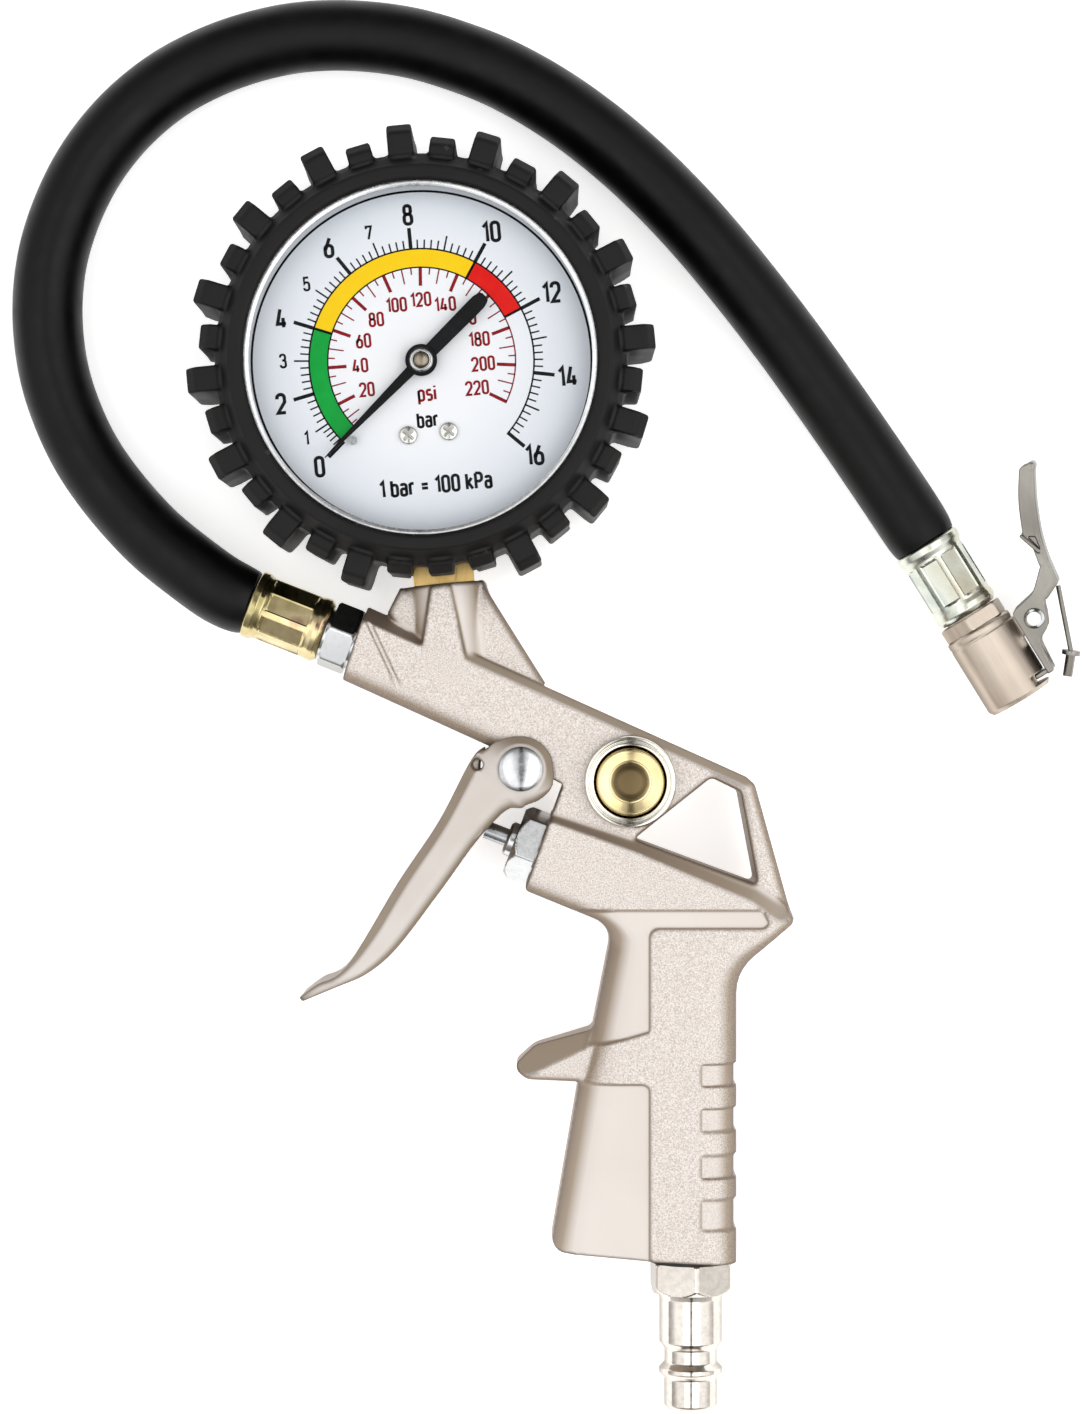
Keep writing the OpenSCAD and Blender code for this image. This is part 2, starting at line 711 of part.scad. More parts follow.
module chuck_lever_pin() {
    color("#c9c2b6") in_lever() translate([0, pivot_s, pivot_t]) rotate([0, 90, 0]) {
        translate([0, 0, -4.6]) cylinder(r = 1, h = 9.2, $fn = 32);
        translate([0, 0, 4.5]) cylinder(r1 = 1.9, r2 = 1.3, h = 0.8, $fn = 32);
        translate([0, 0, -5.3]) cylinder(r1 = 1.3, r2 = 1.9, h = 0.8, $fn = 32);
    }
}

module chuck_lever_wire() {
    color("#d0d0cc") in_lever() {
        translate([0, 16.8, 19.6]) rotate([20.4, 0, 0]) cylinder(r = 0.45, h = 12.8, $fn = 24);
        translate([0, 12.6, 31.2]) rotate([40, 0, 0]) {
            cylinder(r = 1.7, h = 0.8, $fn = 32);
            translate([0, 0, 0.6]) cylinder(r = 0.9, h = 4.2, $fn = 32);
        }
    }
}

module chuck_lever_spring() {
    color("#8d8f90") in_lever() translate([0, pivot_s, pivot_t]) for (s = [0, 1])
        rotate([0, 180 * s, 0]) translate([1.95, 0, 0]) rotate([0, 90, 0])
            coil(1.6, 0.22, 1.1, 2);
}

// Trigger and main valve.

module trigger() {
    color("#e4dbd1") placed() difference() {
        union() {
            difference() {
                union() {
                    slab(trigger_pts, trigger_half);
                    translate([0, 0, mid_z - trigger_half]) cylinder(r = knuckle_r, h = 2 * trigger_half);
                }
                slab(channel_pts, trigger_half - cheek_t);
                translate([0, 0, mid_z - trigger_half + cheek_t])
                    cylinder(r = 7.6, h = 2 * (trigger_half - cheek_t));
            }
            translate([-9.6, -10.2, mid_z - trigger_half + 1]) cylinder(r = 3, h = 2 * trigger_half - 2);
        }
        translate([0, 0, -1]) cylinder(r = pin_r + run_gap, h = 30);
    }
}

module trigger_pin() {
    color("#d7d8da") placed() {
        translate([0, 0, mid_z - trigger_half + 0.2]) cylinder(r = pin_r, h = 2 * trigger_half + 0.2);
        translate([0, 0, mid_z + trigger_half + 0.3]) cylinder(r1 = 4.1, r2 = 3, h = 1);
    }
}

module valve_nut() {
    color("#c6c8c9") on_valve() difference() {
        union() {
            translate([0, 0, -4.62]) intersection() {
                hexagon(valve_af, 4.6, valve_roll);
                cylinder(r1 = 6.2, r2 = 11.4, h = 4.6);
            }
            translate([0, 0, -6.1]) cylinder(r = 3.25, h = 2);
            cylinder(r = 4.95, h = 7);
        }
        translate([0, 0, -7]) cylinder(r = stem_r + run_gap, h = 20, $fn = 48);
        translate([0, 0, 5.2]) cylinder(r = 3.1, h = 3);
    }
}

module valve_stem() {
    color("#c3c5c6") on_valve() {
        translate([0, 0, -10.3]) cylinder(r = stem_r, h = 26, $fn = 48);
        translate([0, 0, 15]) cylinder(r = 4.4, h = 2);
        translate([0, 0, 16.9]) cylinder(r = 2.2, h = 4);
    }
}

module stem_oring() {
    color("#202022") on_valve() translate([0, 0, 6.1])
        rotate_extrude() translate([2.4, 0]) circle(r = 0.68, $fn = 24);
}

module valve_washer() {
    color("#2c2a28") on_valve() translate([0, 0, 13.8]) ring(4.3, stem_r, 1.2);
}

module valve_seat() {
    color("#cfa85a") on_valve() translate([0, 0, 9.5]) ring(4.6, 2.9, 4);
}

module valve_spring() {
    color("#a8abad") on_valve() translate([0, 0, 17.6]) coil(3.2, 0.45, 13.8, 6);
}

// Bleed button beside the window.

module bleed_bezel() {
    color("#cfd2d4") placed() translate([bleed_u, bleed_v, 0]) rotate_extrude() polygon([
        [6.38, 14.5], [7, 14.5], [7, 19.5], [ring_r, 19.5], [ring_r, 20.6], [7.9, 21.2],
        [6.9, 21.2], [6.38, 20.7]
    ]);
}

module bleed_button() {
    color("#c9a44c") placed() translate([bleed_u, bleed_v, 0]) {
        rotate_extrude() polygon([
            [0, 18.4], [button_r, 18.4], [button_r, 21], [5.7, 21.7], [4.6, 21.3],
            [3.7, 21.4], [3, 22.3], [1.6, 22.8], [0, 22.9]
        ]);
        translate([0, 0, 8.2]) cylinder(r = 2, h = 10.4);
        translate([0, 0, 8.2]) cylinder(r = 2.9, h = 1);
    }
}

module bleed_seal() {
    color("#262424") placed() translate([bleed_u, bleed_v, 9.2]) ring(3.2, 2, 2.5);
}

module bleed_plug() {
    color("#cfa85a") placed() translate([bleed_u, bleed_v, 2.9]) difference() {
        cylinder(r = 3.6, h = 3);
        translate([-4, -0.5, -1]) cube([8, 1, 2]);
    }
}

module bleed_spring() {
    color("#a8abad") placed() translate([bleed_u, bleed_v, 13.4]) coil(3.6, 0.35, 4.6, 4);
}

// Inlet plug in the grip's end.

module inlet_plug() {
    color("#d4cbb9") on_plug() difference() {
        union() {
            translate([0, 0, -10]) cylinder(r = 6.55, h = 10.6);
            translate([0, 0, 0.6]) intersection() {
                hexagon(plug_af, 5.6, plug_roll);
                cylinder(r1 = 7.3, r2 = 11, h = 5.6);
                cylinder(r1 = 11, r2 = 7.3, h = 5.6);
            }
            rotate_extrude() polygon([
                [0, 6], [plug_r, 6], [plug_r, 15.4], [5.5, 16], [4.95, 16.5], [4.95, 19],
                [plug_r, 20.1], [plug_r, 20.9], [nose_r, 21.8], [nose_r, 27.1], [4.5, 27.7], [0, 27.7]
            ]);
        }
        translate([0, 0, -11]) cylinder(r = 3.4, h = 40);
    }
}

module inlet_washer() {
    color("#3a3a3c") on_plug() ring(7.4, 6.6, 0.6);
}

gun_body();
gauge_socket();
gauge_case();
gauge_boot();
gauge_bezel();
gauge_lens();
gauge_lens_gasket();
gauge_spacer_ring();
gauge_dial();
dial_screws();
pointer_stop_pin();
bourdon_tube();
bourdon_tip();
movement_lower_plate();
movement_upper_plate();
movement_pillars();
sector_gear();
movement_link();
pinion_shaft();
pointer();
pointer_cap();
hairspring();
hose_nut();
gun_ferrule();
hose();
chuck_ferrule();
chuck_hose_fitting();
chuck_body();
chuck_seal();
chuck_depressor();
chuck_lever();
chuck_lever_pin();
chuck_lever_wire();
chuck_lever_spring();
trigger();
trigger_pin();
valve_nut();
valve_stem();
stem_oring();
valve_washer();
valve_seat();
valve_spring();
bleed_bezel();
bleed_button();
bleed_seal();
bleed_plug();
bleed_spring();
inlet_plug();
inlet_washer();
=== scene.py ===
import json
import math

import bmesh
import bpy
import numpy as np
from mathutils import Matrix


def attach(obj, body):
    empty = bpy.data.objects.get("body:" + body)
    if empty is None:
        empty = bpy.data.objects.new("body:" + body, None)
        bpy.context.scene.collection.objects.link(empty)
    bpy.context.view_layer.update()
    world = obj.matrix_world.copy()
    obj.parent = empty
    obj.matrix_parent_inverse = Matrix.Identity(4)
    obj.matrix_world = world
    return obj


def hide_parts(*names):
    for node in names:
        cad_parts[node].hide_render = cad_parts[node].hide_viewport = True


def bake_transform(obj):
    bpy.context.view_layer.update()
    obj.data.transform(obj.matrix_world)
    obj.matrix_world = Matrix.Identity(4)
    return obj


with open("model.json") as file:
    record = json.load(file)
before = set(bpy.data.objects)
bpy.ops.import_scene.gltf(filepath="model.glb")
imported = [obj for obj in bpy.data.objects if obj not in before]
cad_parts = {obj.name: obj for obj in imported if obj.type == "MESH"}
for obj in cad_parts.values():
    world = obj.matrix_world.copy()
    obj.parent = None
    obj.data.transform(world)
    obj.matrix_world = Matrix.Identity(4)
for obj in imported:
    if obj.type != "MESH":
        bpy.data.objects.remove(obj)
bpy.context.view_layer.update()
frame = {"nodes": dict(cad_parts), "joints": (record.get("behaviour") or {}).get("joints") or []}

import openvdb
from mathutils import Matrix, Vector

# Lengths below are in millimetres. The tool's own frame has its origin on the trigger's pivot, half
# way through the tool, and the gauge's frame has its origin on the bench under the dial's centre.
MM = 0.001
JOINTS = {joint["name"]: joint for joint in frame["joints"]}
PIVOT = Vector(JOINTS["trigger_swing"]["pos_m"])
GAUGE_CENTRE = Vector(JOINTS["pointer_spin"]["pos_m"])
GAUGE_TILT = 5.5
SCALE = Matrix.Scale(MM, 4)
TOOL = Matrix.Translation(PIVOT) @ SCALE
GAUGE_FOOT = Matrix.Translation((GAUGE_CENTRE.x, GAUGE_CENTRE.y, 0))
GAUGE = GAUGE_FOOT @ Matrix.Rotation(math.radians(GAUGE_TILT), 4, "Z") @ SCALE
GAUGE_U = (GAUGE_CENTRE.x - PIVOT.x) / MM
GAUGE_V = (GAUGE_CENTRE.y - PIVOT.y) / MM
MID_Z = PIVOT.z / MM


def link(name, data):
    """A new object in the scene, made from a mesh, light or camera."""
    thing = bpy.data.objects.new(name, data)
    bpy.context.scene.collection.objects.link(thing)
    return thing


def new_mesh(name, points, faces):
    mesh = bpy.data.meshes.new(name)
    mesh.from_pydata(points, [], faces)
    return mesh


def finish_piece(piece, material, slot, body, *nodes):
    """Gives a new piece its material and body, and hides the CAD nodes that it stands for. slot is not used.
    """
    piece.data.materials.append(material)
    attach(piece, body)
    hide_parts(*nodes)
    return piece


def set_stops(node, stops):
    """Gives a colour ramp its (position, colour) stops."""
    elements = node.color_ramp.elements
    while len(elements) < len(stops):
        elements.new(0.5)
    for element, (position, colour) in zip(elements, stops):
        element.position = position
        element.color = colour
    return node.outputs["Color"]


# --- Camera, floor and light ---

CAMERA_PLACE = (0.00949, 0.0119, 0.661)
FOCAL_LENGTH = 59.58
SENSOR = 24.0
FLOOR_SIZE = 14.0
LIGHT_AIM = Vector((0.01, 0.02, 0))
TENT_STRENGTH = 1.4
FLOOR_GLOW = 0.55


def make_camera():
    data = bpy.data.cameras.new("camera")
    data.sensor_fit = "AUTO"
    data.sensor_width = SENSOR
    data.lens = FOCAL_LENGTH
    camera = link("camera", data)
    camera.location = CAMERA_PLACE
    bpy.context.scene.camera = camera


def softbox(name, place, size, power):
    """A white rectangle of light aimed at the tool. size is (slant height, length)."""
    data = bpy.data.lights.new(name, "AREA")
    data.shape = "RECTANGLE"
    data.size, data.size_y = size
    data.energy = power
    light = link(name, data)
    light.location = place
    aim = LIGHT_AIM - Vector(place)
    light.rotation_euler = aim.to_track_quat("-Z", "X").to_euler()


def make_lights():
    """Two big boxes overhead with a dark gap between them, inside a light tent."""
    softbox("over_right", (0.56, -0.1, 1.4), (0.8, 1.9), 4)
    softbox("over_left", (-0.46, -0.1, 1.4), (0.6, 1.9), 2)
    make_tent()


def warm_ramp(tree, factor, *stops):
    """A grey that goes through (position, level) stops, browner as it gets darker."""
    node = tree.nodes.new("ShaderNodeValToRGB")
    tree.links.new(factor, node.inputs["Fac"])
    return set_stops(node, [(spot, (level, level ** 1.03, level ** 1.05, 1)) for spot, level in stops])


def make_tent():
    """White cloth left and right, a slot for the camera overhead, and black cloth behind."""
    world = bpy.data.worlds.new("light_tent")
    world.use_nodes = True
    tree = world.node_tree
    split = tree.nodes.new("ShaderNodeSeparateXYZ")
    tree.links.new(tree.nodes.new("ShaderNodeTexCoord").outputs["Generated"], split.inputs[0])
    halves = []
    for axis in ("X", "Y"):
        half = tree.nodes.new("ShaderNodeMapRange")
        half.inputs["From Min"].default_value = -1
        tree.links.new(split.outputs[axis], half.inputs["Value"])
        halves.append(half.outputs["Result"])
    across = warm_ramp(
        tree, halves[0], (0.0, 0.3), (0.08, 0.95), (0.465, 0.95), (0.488, 0.12), (0.527, 0.12),
        (0.55, 1.0), (0.94, 1.0), (1.0, 0.5))
    along = warm_ramp(
        tree, halves[1], (0.02, 0.14), (0.14, 0.35), (0.3, 0.9), (0.56, 1.0), (0.74, 0.5), (0.93, 0.14))
    both = tree.nodes.new("ShaderNodeMix")
    both.data_type, both.blend_type = "RGBA", "MULTIPLY"
    both.inputs["Factor"].default_value = 1.0
    tree.links.new(across, both.inputs[6])
    tree.links.new(along, both.inputs[7])
    background = tree.nodes["Background"]
    tree.links.new(both.outputs[2], background.inputs["Color"])
    background.inputs["Strength"].default_value = TENT_STRENGTH
    bpy.context.scene.world = world


# --- Materials ---

def tone(red, green, blue):
    """A colour given as 0 to 255 on a screen, as the shader wants it."""
    return tuple((c / 255) ** 2.2 for c in (red, green, blue)) + (1.0,)


WHITE = (255, 255, 255)


class Finish:
    """A procedural material, built node by node round one Principled shader."""

    def __init__(self, name, roughness=0.5, metallic=0.0, specular=0.5):
        self.material = bpy.data.materials.new(name)
        self.material.use_nodes = True
        self.tree = self.material.node_tree
        self.shader = self.tree.nodes["Principled BSDF"]
        self.shader.inputs["Roughness"].default_value = roughness
        self.shader.inputs["Metallic"].default_value = metallic
        self.shader.inputs["Specular IOR Level"].default_value = specular
        self.place = self.add("ShaderNodeTexCoord").outputs["Object"]

    def add(self, kind, inputs=None, **settings):
        node = self.tree.nodes.new(kind)
        for key, value in settings.items():
            setattr(node, key, value)
        for key, value in (inputs or {}).items():
            self.feed(node.inputs[key], value)
        return node

    def feed(self, socket, value):
        if isinstance(value, bpy.types.NodeSocket):
            self.tree.links.new(value, socket)
        else:
            socket.default_value = value

    def stretched(self, scale, turn):
        """The piece's own coordinates, scaled along each axis after a turn about Z in degrees."""
        spin = self.add("ShaderNodeMapping", {"Vector": self.place})
        spin.inputs["Rotation"].default_value = (0, 0, math.radians(turn))
        grow = self.add("ShaderNodeMapping", {"Vector": spin.outputs[0], "Scale": scale})
        return grow.outputs[0]

    def noise(self, scale, detail=2.0, vector=None, rough=0.5):
        inputs = {"Vector": vector or self.place, "Scale": scale, "Detail": detail, "Roughness": rough}
        return self.add("ShaderNodeTexNoise", inputs).outputs["Fac"]

    def ramp(self, factor, *stops):
        """A colour that goes through (position, screen colour) stops."""
        stops = [(spot, tone(*colour)) for spot, colour in stops]
        return set_stops(self.add("ShaderNodeValToRGB", {"Fac": factor}), stops)

    def spread(self, factor, low, high, start=0.3, end=0.7):
        """A number from low to high as the factor goes from start to end."""
        inputs = {"Value": factor, "From Min": start, "From Max": end, "To Min": low, "To Max": high}
        return self.add("ShaderNodeMapRange", inputs).outputs["Result"]

    def drift(self, scale, detail, dark, light):
        """A colour that wanders between two, in patches."""
        return self.ramp(self.noise(scale, detail), (0.3, dark), (0.7, light))

    def mix(self, factor, first, second, blend_type="MIX"):
        inputs = {"Factor": factor, 6: first, 7: second}
        return self.add("ShaderNodeMix", inputs, data_type="RGBA", blend_type=blend_type).outputs[2]

    def maths(self, operation, first, second=0.0):
        return self.add("ShaderNodeMath", {0: first, 1: second}, operation=operation).outputs[0]

    def reach(self, centre):
        """How far away a place is, in metres."""
        around = self.add("ShaderNodeVectorMath", {0: self.place, 1: centre}, operation="SUBTRACT")
        length = self.add("ShaderNodeVectorMath", {0: around.outputs[0]}, operation="LENGTH")
        return length.outputs["Value"]

    def attribute(self, name):
        return self.add("ShaderNodeAttribute", attribute_name=name).outputs["Fac"]

    def edges(self, low, high):
        """0 on flats and hollows, 1 on raised edges."""
        return self.spread(self.add("ShaderNodeNewGeometry").outputs["Pointiness"], 0, 1, low, high)

    def turned_away(self):
        """0 where the skin is level, 1 where it is upright."""
        normal = self.add("ShaderNodeNewGeometry").outputs["Normal"]
        level = self.add("ShaderNodeSeparateXYZ", {"Vector": normal}).outputs["Z"]
        return self.spread(self.maths("ABSOLUTE", level), 1, 0, 0.1, 0.92)

    def toned(self, colour, sides):
        """Painted shade: darker where the skin is near upright."""
        upright_shade = (sides, sides * 0.985, sides * 0.96)
        shade_tint = self.ramp(
            self.turned_away(), (0.5, WHITE), (0.75, upright_shade), (1.0, (160, 157, 151)))
        return self.mix(1.0, colour, shade_tint, "MULTIPLY")

    def flaked(self, colour):
        """Painted shade: deeper and browner on slopes, and painted crease shade that is darkest in creases.
        """
        shade_tint = self.ramp(
            self.turned_away(), (0.0, WHITE), (0.27, (188, 176, 160)),
            (0.75, (130, 116, 104)), (1.0, (184, 175, 166)))
        crease_shade = self.spread(self.edges(0.0, 1.0), 0.85, 0, 0.45, 0.488)
        return self.mix(crease_shade, self.mix(1.0, colour, shade_tint, "MULTIPLY"), tone(98, 86, 76))

    def colour(self, value):
        self.feed(self.shader.inputs["Base Color"], value)

    def rough(self, value):
        self.feed(self.shader.inputs["Roughness"], value)

    def bump(self, height, depth, strength):
        inputs = {"Height": height, "Distance": depth * MM, "Strength": strength}
        node = self.add("ShaderNodeBump", inputs)
        self.feed(self.shader.inputs["Normal"], node.outputs["Normal"])


def body_paint():
    """Sandy champagne enamel, with smooth panels where the smooth attribute is 1."""
    finish = Finish("sandy_champagne_enamel", metallic=0.2)
    grain = finish.noise(4300, 2.0, rough=0.6)
    sandy = finish.ramp(
        grain, (0.36, (200, 187, 176)), (0.5, (226, 217, 210)), (0.63, (244, 238, 233)))
    plain = finish.drift(45, 2.0, (226, 217, 209), (234, 226, 219))
    smooth = finish.attribute("smooth")
    # The enamel colour gets painted shade on slopes and in creases.
    finish.colour(finish.flaked(finish.mix(smooth, sandy, plain)))
    finish.rough(finish.spread(grain, 0.62, 0.44))
    finish.bump(finish.maths("MULTIPLY", grain, finish.maths("SUBTRACT", 1.0, smooth)), 0.07, 0.5)
    return finish.material


def trigger_paint():
    finish = Finish("smooth_champagne_enamel", metallic=0.2)
    # The enamel colour gets painted shade on slopes and in creases.
    finish.colour(finish.flaked(finish.drift(60, 3.0, (211, 203, 195), (220, 213, 206))))
    finish.rough(finish.spread(finish.noise(300), 0.4, 0.52))
    finish.bump(finish.noise(900, 2.0), 0.02, 0.35)
    return finish.material


def metal(name, dark, light, scale=(1, 1, 1), turn=0.0, rough=(0.2, 0.35), grain=900, depth=0.01,
          sides=200):
    """A metal with fine marks, drawn out along the axes where scale is small.

    dark and light are screen colours. sides is how light the painted shade leaves it where it turns away
    from level, out of 255."""
    finish = Finish(name, metallic=1.0)
    marks = finish.noise(grain, 4.0, finish.stretched(scale, turn), 0.6)
    worn = finish.ramp(marks, (0.35, (205, 205, 205)), (0.6, WHITE))
    colour = finish.mix(0.35, finish.drift(70, 2.0, dark, light), worn, "MULTIPLY")
    # Painted shade: the colour darkens where the skin turns upright.
    finish.colour(finish.toned(colour, sides))
    finish.rough(finish.spread(marks, *rough))
    finish.bump(marks, depth, 0.4)
    return finish.material


def button_brass():
    """Polished brass, with a painted reflection: dark in the middle of the button, where the camera overhead
    shows in its cup.
    """
    finish = Finish("button_brass", metallic=1.0)
    wander = finish.maths("MULTIPLY", finish.noise(500, 3.0), 0.4 * MM)
    out = finish.maths("ADD", finish.reach(TOOL @ Vector((*BLEED, 10.5))), wander)
    rim = finish.spread(out, 0, 1, 3.2 * MM, 3.9 * MM)
    gold = finish.drift(200, 2.0, (214, 192, 138), (234, 218, 172))
    finish.colour(finish.mix(rim, tone(112, 97, 70), gold))
    finish.rough(finish.spread(rim, 0.42, 0.14, 0, 1))
    return finish.material


def passivated(name, patches, stops, rough, bump):
    """Passivated zinc, whose colour drifts through the stops in patches."""
    finish = Finish(name, metallic=1.0)
    finish.colour(finish.ramp(finish.noise(patches, 3.0), *stops))
    finish.rough(finish.spread(finish.noise(700, 3.0), *rough))
    finish.bump(finish.noise(600, 3.0), *bump)
    return finish.material


def zinc_yellow():
    """Yellow passivated zinc, with its greenish and reddish drift."""
    stops = ((0.28, (132, 132, 90)), (0.45, (190, 176, 128)), (0.6, (222, 206, 160)),
             (0.75, (174, 140, 118)))
    return passivated("zinc_yellow_passivate", 130, stops, (0.12, 0.24), (0.01, 0.3))


def zinc_clear():
    stops = ((0.3, (176, 184, 178)), (0.5, (214, 218, 206)), (0.72, (196, 190, 170)))
    return passivated("zinc_clear_passivate", 110, stops, (0.18, 0.33), (0.02, 0.35))


def boot_rubber():
    finish = Finish("moulded_black_rubber", specular=0.3)
    dust = finish.noise(90, 4.0)
    base = finish.ramp(dust, (0.35, (12, 11, 11)), (0.75, (24, 22, 22)))
    finish.colour(finish.mix(finish.edges(0.52, 0.6), base, tone(52, 49, 48)))
    finish.rough(finish.spread(dust, 0.5, 0.66))
    finish.bump(finish.noise(1300, 3.0), 0.03, 0.4)
    return finish.material


def coated(name, shades, rough=None, bump=None, **settings):
    """A material whose colour, roughness and bump each come from a noise of their own.

    shades is (scale, detail, dark, light), rough is (scale, detail, low, high), and bump is
    (scale, detail, depth, strength)."""
    finish = Finish(name, **settings)
    finish.colour(finish.drift(*shades))
    if rough:
        finish.rough(finish.spread(finish.noise(*rough[:2]), *rough[2:]))
    if bump:
        finish.bump(finish.noise(*bump[:2]), *bump[2:])
    return finish.material


def hose_rubber():
    return coated("extruded_hose_rubber", (50, 3.0, (4, 4, 5), (10, 10, 11)),
                  (220, 4.0, 0.34, 0.48), (700, 3.0, 0.02, 0.3), specular=0.22)


def seal_rubber():
    return coated("seal_rubber", (300, 3.0, (28, 27, 27), (48, 45, 44)),
                  bump=(1200, 2.0, 0.02, 0.4), roughness=0.6)


def black_plastic():
    return coated("satin_black_plastic", (200, 3.0, (22, 23, 26), (40, 41, 45)),
                  bump=(1500, 2.0, 0.01, 0.3), roughness=0.42)


def dial_white():
    """Cool white enamel on the dial plate, with painted shade making it a little deeper towards its edge,
    under the bezel.
    """
    finish = Finish("dial_enamel", specular=0.2)
    painted_edge_shade = finish.spread(finish.reach(GAUGE @ Vector((0, 0, DIAL_TOP))), 0, 1, 12 * MM, 33 * MM)
    cloud = finish.maths("MULTIPLY", finish.noise(55, 2.0), 0.35)
    mixed = finish.maths("ADD", painted_edge_shade, cloud)
    finish.colour(finish.ramp(mixed, (0.1, (250, 252, 255)), (1.0, (233, 240, 249))))
    finish.rough(finish.spread(finish.noise(400), 0.36, 0.46))
    return finish.material


def ink(name, dark, light):
    return coated(name, (500, 3.0, dark, light), (800, 2.0, 0.38, 0.55), specular=0.12)


def lens_clear():
    finish = Finish("clear_lens", specular=0.05)
    smear = finish.noise(60, 3.0)
    finish.colour(finish.ramp(smear, (0.3, (225, 238, 245)), (0.7, (240, 248, 252))))
    finish.rough(finish.spread(smear, 0.04, 0.1))
    finish.feed(finish.shader.inputs["Alpha"], finish.spread(smear, 0.002, 0.006))
    return finish.material


def floor_white():
    finish = Finish("matt_white_floor", roughness=0.9, specular=0.0)
    finish.colour(finish.drift(4, 2.0, (247, 247, 247), (250, 250, 250)))
    finish.shader.inputs["Emission Color"].default_value = tone(*WHITE)
    finish.shader.inputs["Emission Strength"].default_value = FLOOR_GLOW
    return finish.material


# --- Solids by signed distance ---

class Block:
    """A block of space sampled on cubic cells. x, y and z broadcast against each other."""

    def __init__(self, low, high, step):
        self.step = step
        self.low = [corner - 3 * step for corner in low]
        self.x, self.y, self.z = (
            np.arange(first, last + 3 * step, step, dtype=np.float32)
            for first, last in zip(self.low, high))
        self.x = self.x[:, None, None]
        self.y = self.y[None, :, None]
        self.z = self.z[None, None, :]

    def surface(self, name, distance, place):
        """An object of where the distance is 0. Its points, in the block's units, are in self.points."""
        size = (self.x.size, self.y.size, self.z.size)
        band = 4 * self.step
        values = np.clip(np.broadcast_to(distance, size), -band, band)
        level = openvdb.FloatGrid(band)
        level.copyFromArray(np.ascontiguousarray(values, dtype=np.float32))
        cells, quads = level.convertToQuads(isovalue=0.0)
        self.points = cells * self.step + np.array(self.low)
        mesh = new_mesh(name, self.points.tolist(), quads[:, ::-1].tolist())
        mesh.transform(place)
        mesh.shade_smooth()
        return link(name, mesh)


def rounded_path(points, closed=True):
    """An outline with its corners turned into arcs. A point is (x, y) or (x, y, radius)."""
    result = []
    count = len(points)
    for index, point in enumerate(points):
        here = Vector(point[:2])
        radius = point[2] if len(point) > 2 else 0
        at_end = not closed and index in (0, count - 1)
        if not radius or at_end:
            result.append(tuple(here))
            continue
        back = (Vector(points[index - 1][:2]) - here).normalized()
        ahead = (Vector(points[(index + 1) % count][:2]) - here).normalized()
        half = back.angle(ahead) / 2
        reach = radius / math.tan(half)
        centre = here + (back + ahead).normalized() * radius / math.sin(half)
        first, last = here + back * reach - centre, here + ahead * reach - centre
        steps = max(3, int(math.degrees(math.pi - 2 * half) / 9))
        turn = math.atan2(first.x * last.y - first.y * last.x, first.dot(last))
        for step in range(steps + 1):
            spot = centre + Matrix.Rotation(turn * step / steps, 2) @ first
            result.append(tuple(spot))
    return result


def path_distance(points, x, y, closed=True):
    """Distance in the plane to a run of straight lines, with no sign."""
    ends = points[1:] + points[:1] if closed else points[1:]
    best = np.full(np.broadcast(x, y).shape, 1e6, np.float32)
    for (ax, ay), (bx, by) in zip(points, ends):
        ex, ey = bx - ax, by - ay
        px, py = x - ax, y - ay
        share = np.clip((px * ex + py * ey) / (ex * ex + ey * ey + 1e-9), 0, 1)
        best = np.minimum(best, (px - share * ex) ** 2 + (py - share * ey) ** 2)
    return np.sqrt(best)


def line_distance(points, x, y):
    """Distance in the plane to an open run of straight lines."""
    return path_distance(points, x, y, closed=False)


def outline_distance(points, x, y):
    """Distance in the plane to a closed outline, negative inside."""
    inside = np.zeros(np.broadcast(x, y).shape, bool)
    for (ax, ay), (bx, by) in zip(points, points[1:] + points[:1]):
        if ay == by:
            continue
        crosses = (ay > y) != (by > y)
        inside ^= crosses & (x < ax + (y - ay) * (bx - ax) / (by - ay))
    return np.where(inside, -1, 1) * path_distance(points, x, y)


def corner(first, second, radius):
    """The inside of two faces at once, with the edge between them rounded."""
    a, b = first + radius, second + radius
    outer = np.hypot(np.maximum(a, 0), np.maximum(b, 0))
    return np.minimum(np.maximum(a, b), 0) + outer - radius


def join(first, second, fillet):
    """Two solids made one, with a fillet where they meet."""
    near = np.maximum(fillet - abs(first - second), 0) / fillet
    return np.minimum(first, second) - near * near * fillet / 4


def cut(solid, tool, edge):
    """A solid with the tool's shape taken away and its new edge softened."""
    return -join(-solid, tool, edge)


def step_up(value, low, high):
    """0 below low and 1 above high, with a smooth rise between."""
    share = np.clip((value - low) / (high - low), 0, 1)
    return share * share * (3 - 2 * share)


def rod(block, point, angle, span, radius):
    """A round rod in the plane from a point, at an angle in degrees; span is (start, end)."""
    c, s = math.cos(math.radians(angle)), math.sin(math.radians(angle))
    along = (block.x - point[0]) * c + (block.y - point[1]) * s
    aside = (block.y - point[1]) * c - (block.x - point[0]) * s
    ends = np.maximum(span[0] - along, along - span[1])
    return np.maximum(np.hypot(aside, block.z) - radius, ends)


def post(block, point, span, radius):
    """A round post along Z; span is (bottom, top)."""
    side = np.hypot(block.x - point[0], block.y - point[1]) - radius
    return np.maximum(side, np.maximum(span[0] - block.z, block.z - span[1]))


# --- Gun body ---

BEAM_HALF = 8.2
CHAMBER_HALF = 10.9
PANEL_HALF = 10.35
GRIP_HALF = 11.0
REST_HALF = 7.6
WEB_HALF = 5.2
BOSS_R = 7.65
STEM_LOCAL = 40.4
PORT, PORT_ANGLE = (-30.7, 23.0), 158.5
VALVE, VALVE_ANGLE = (3.1, -15.0), -20.74
BLEED = (20.0, -2.4)
PLUG_U, GRIP_END = 31.4, -90.7

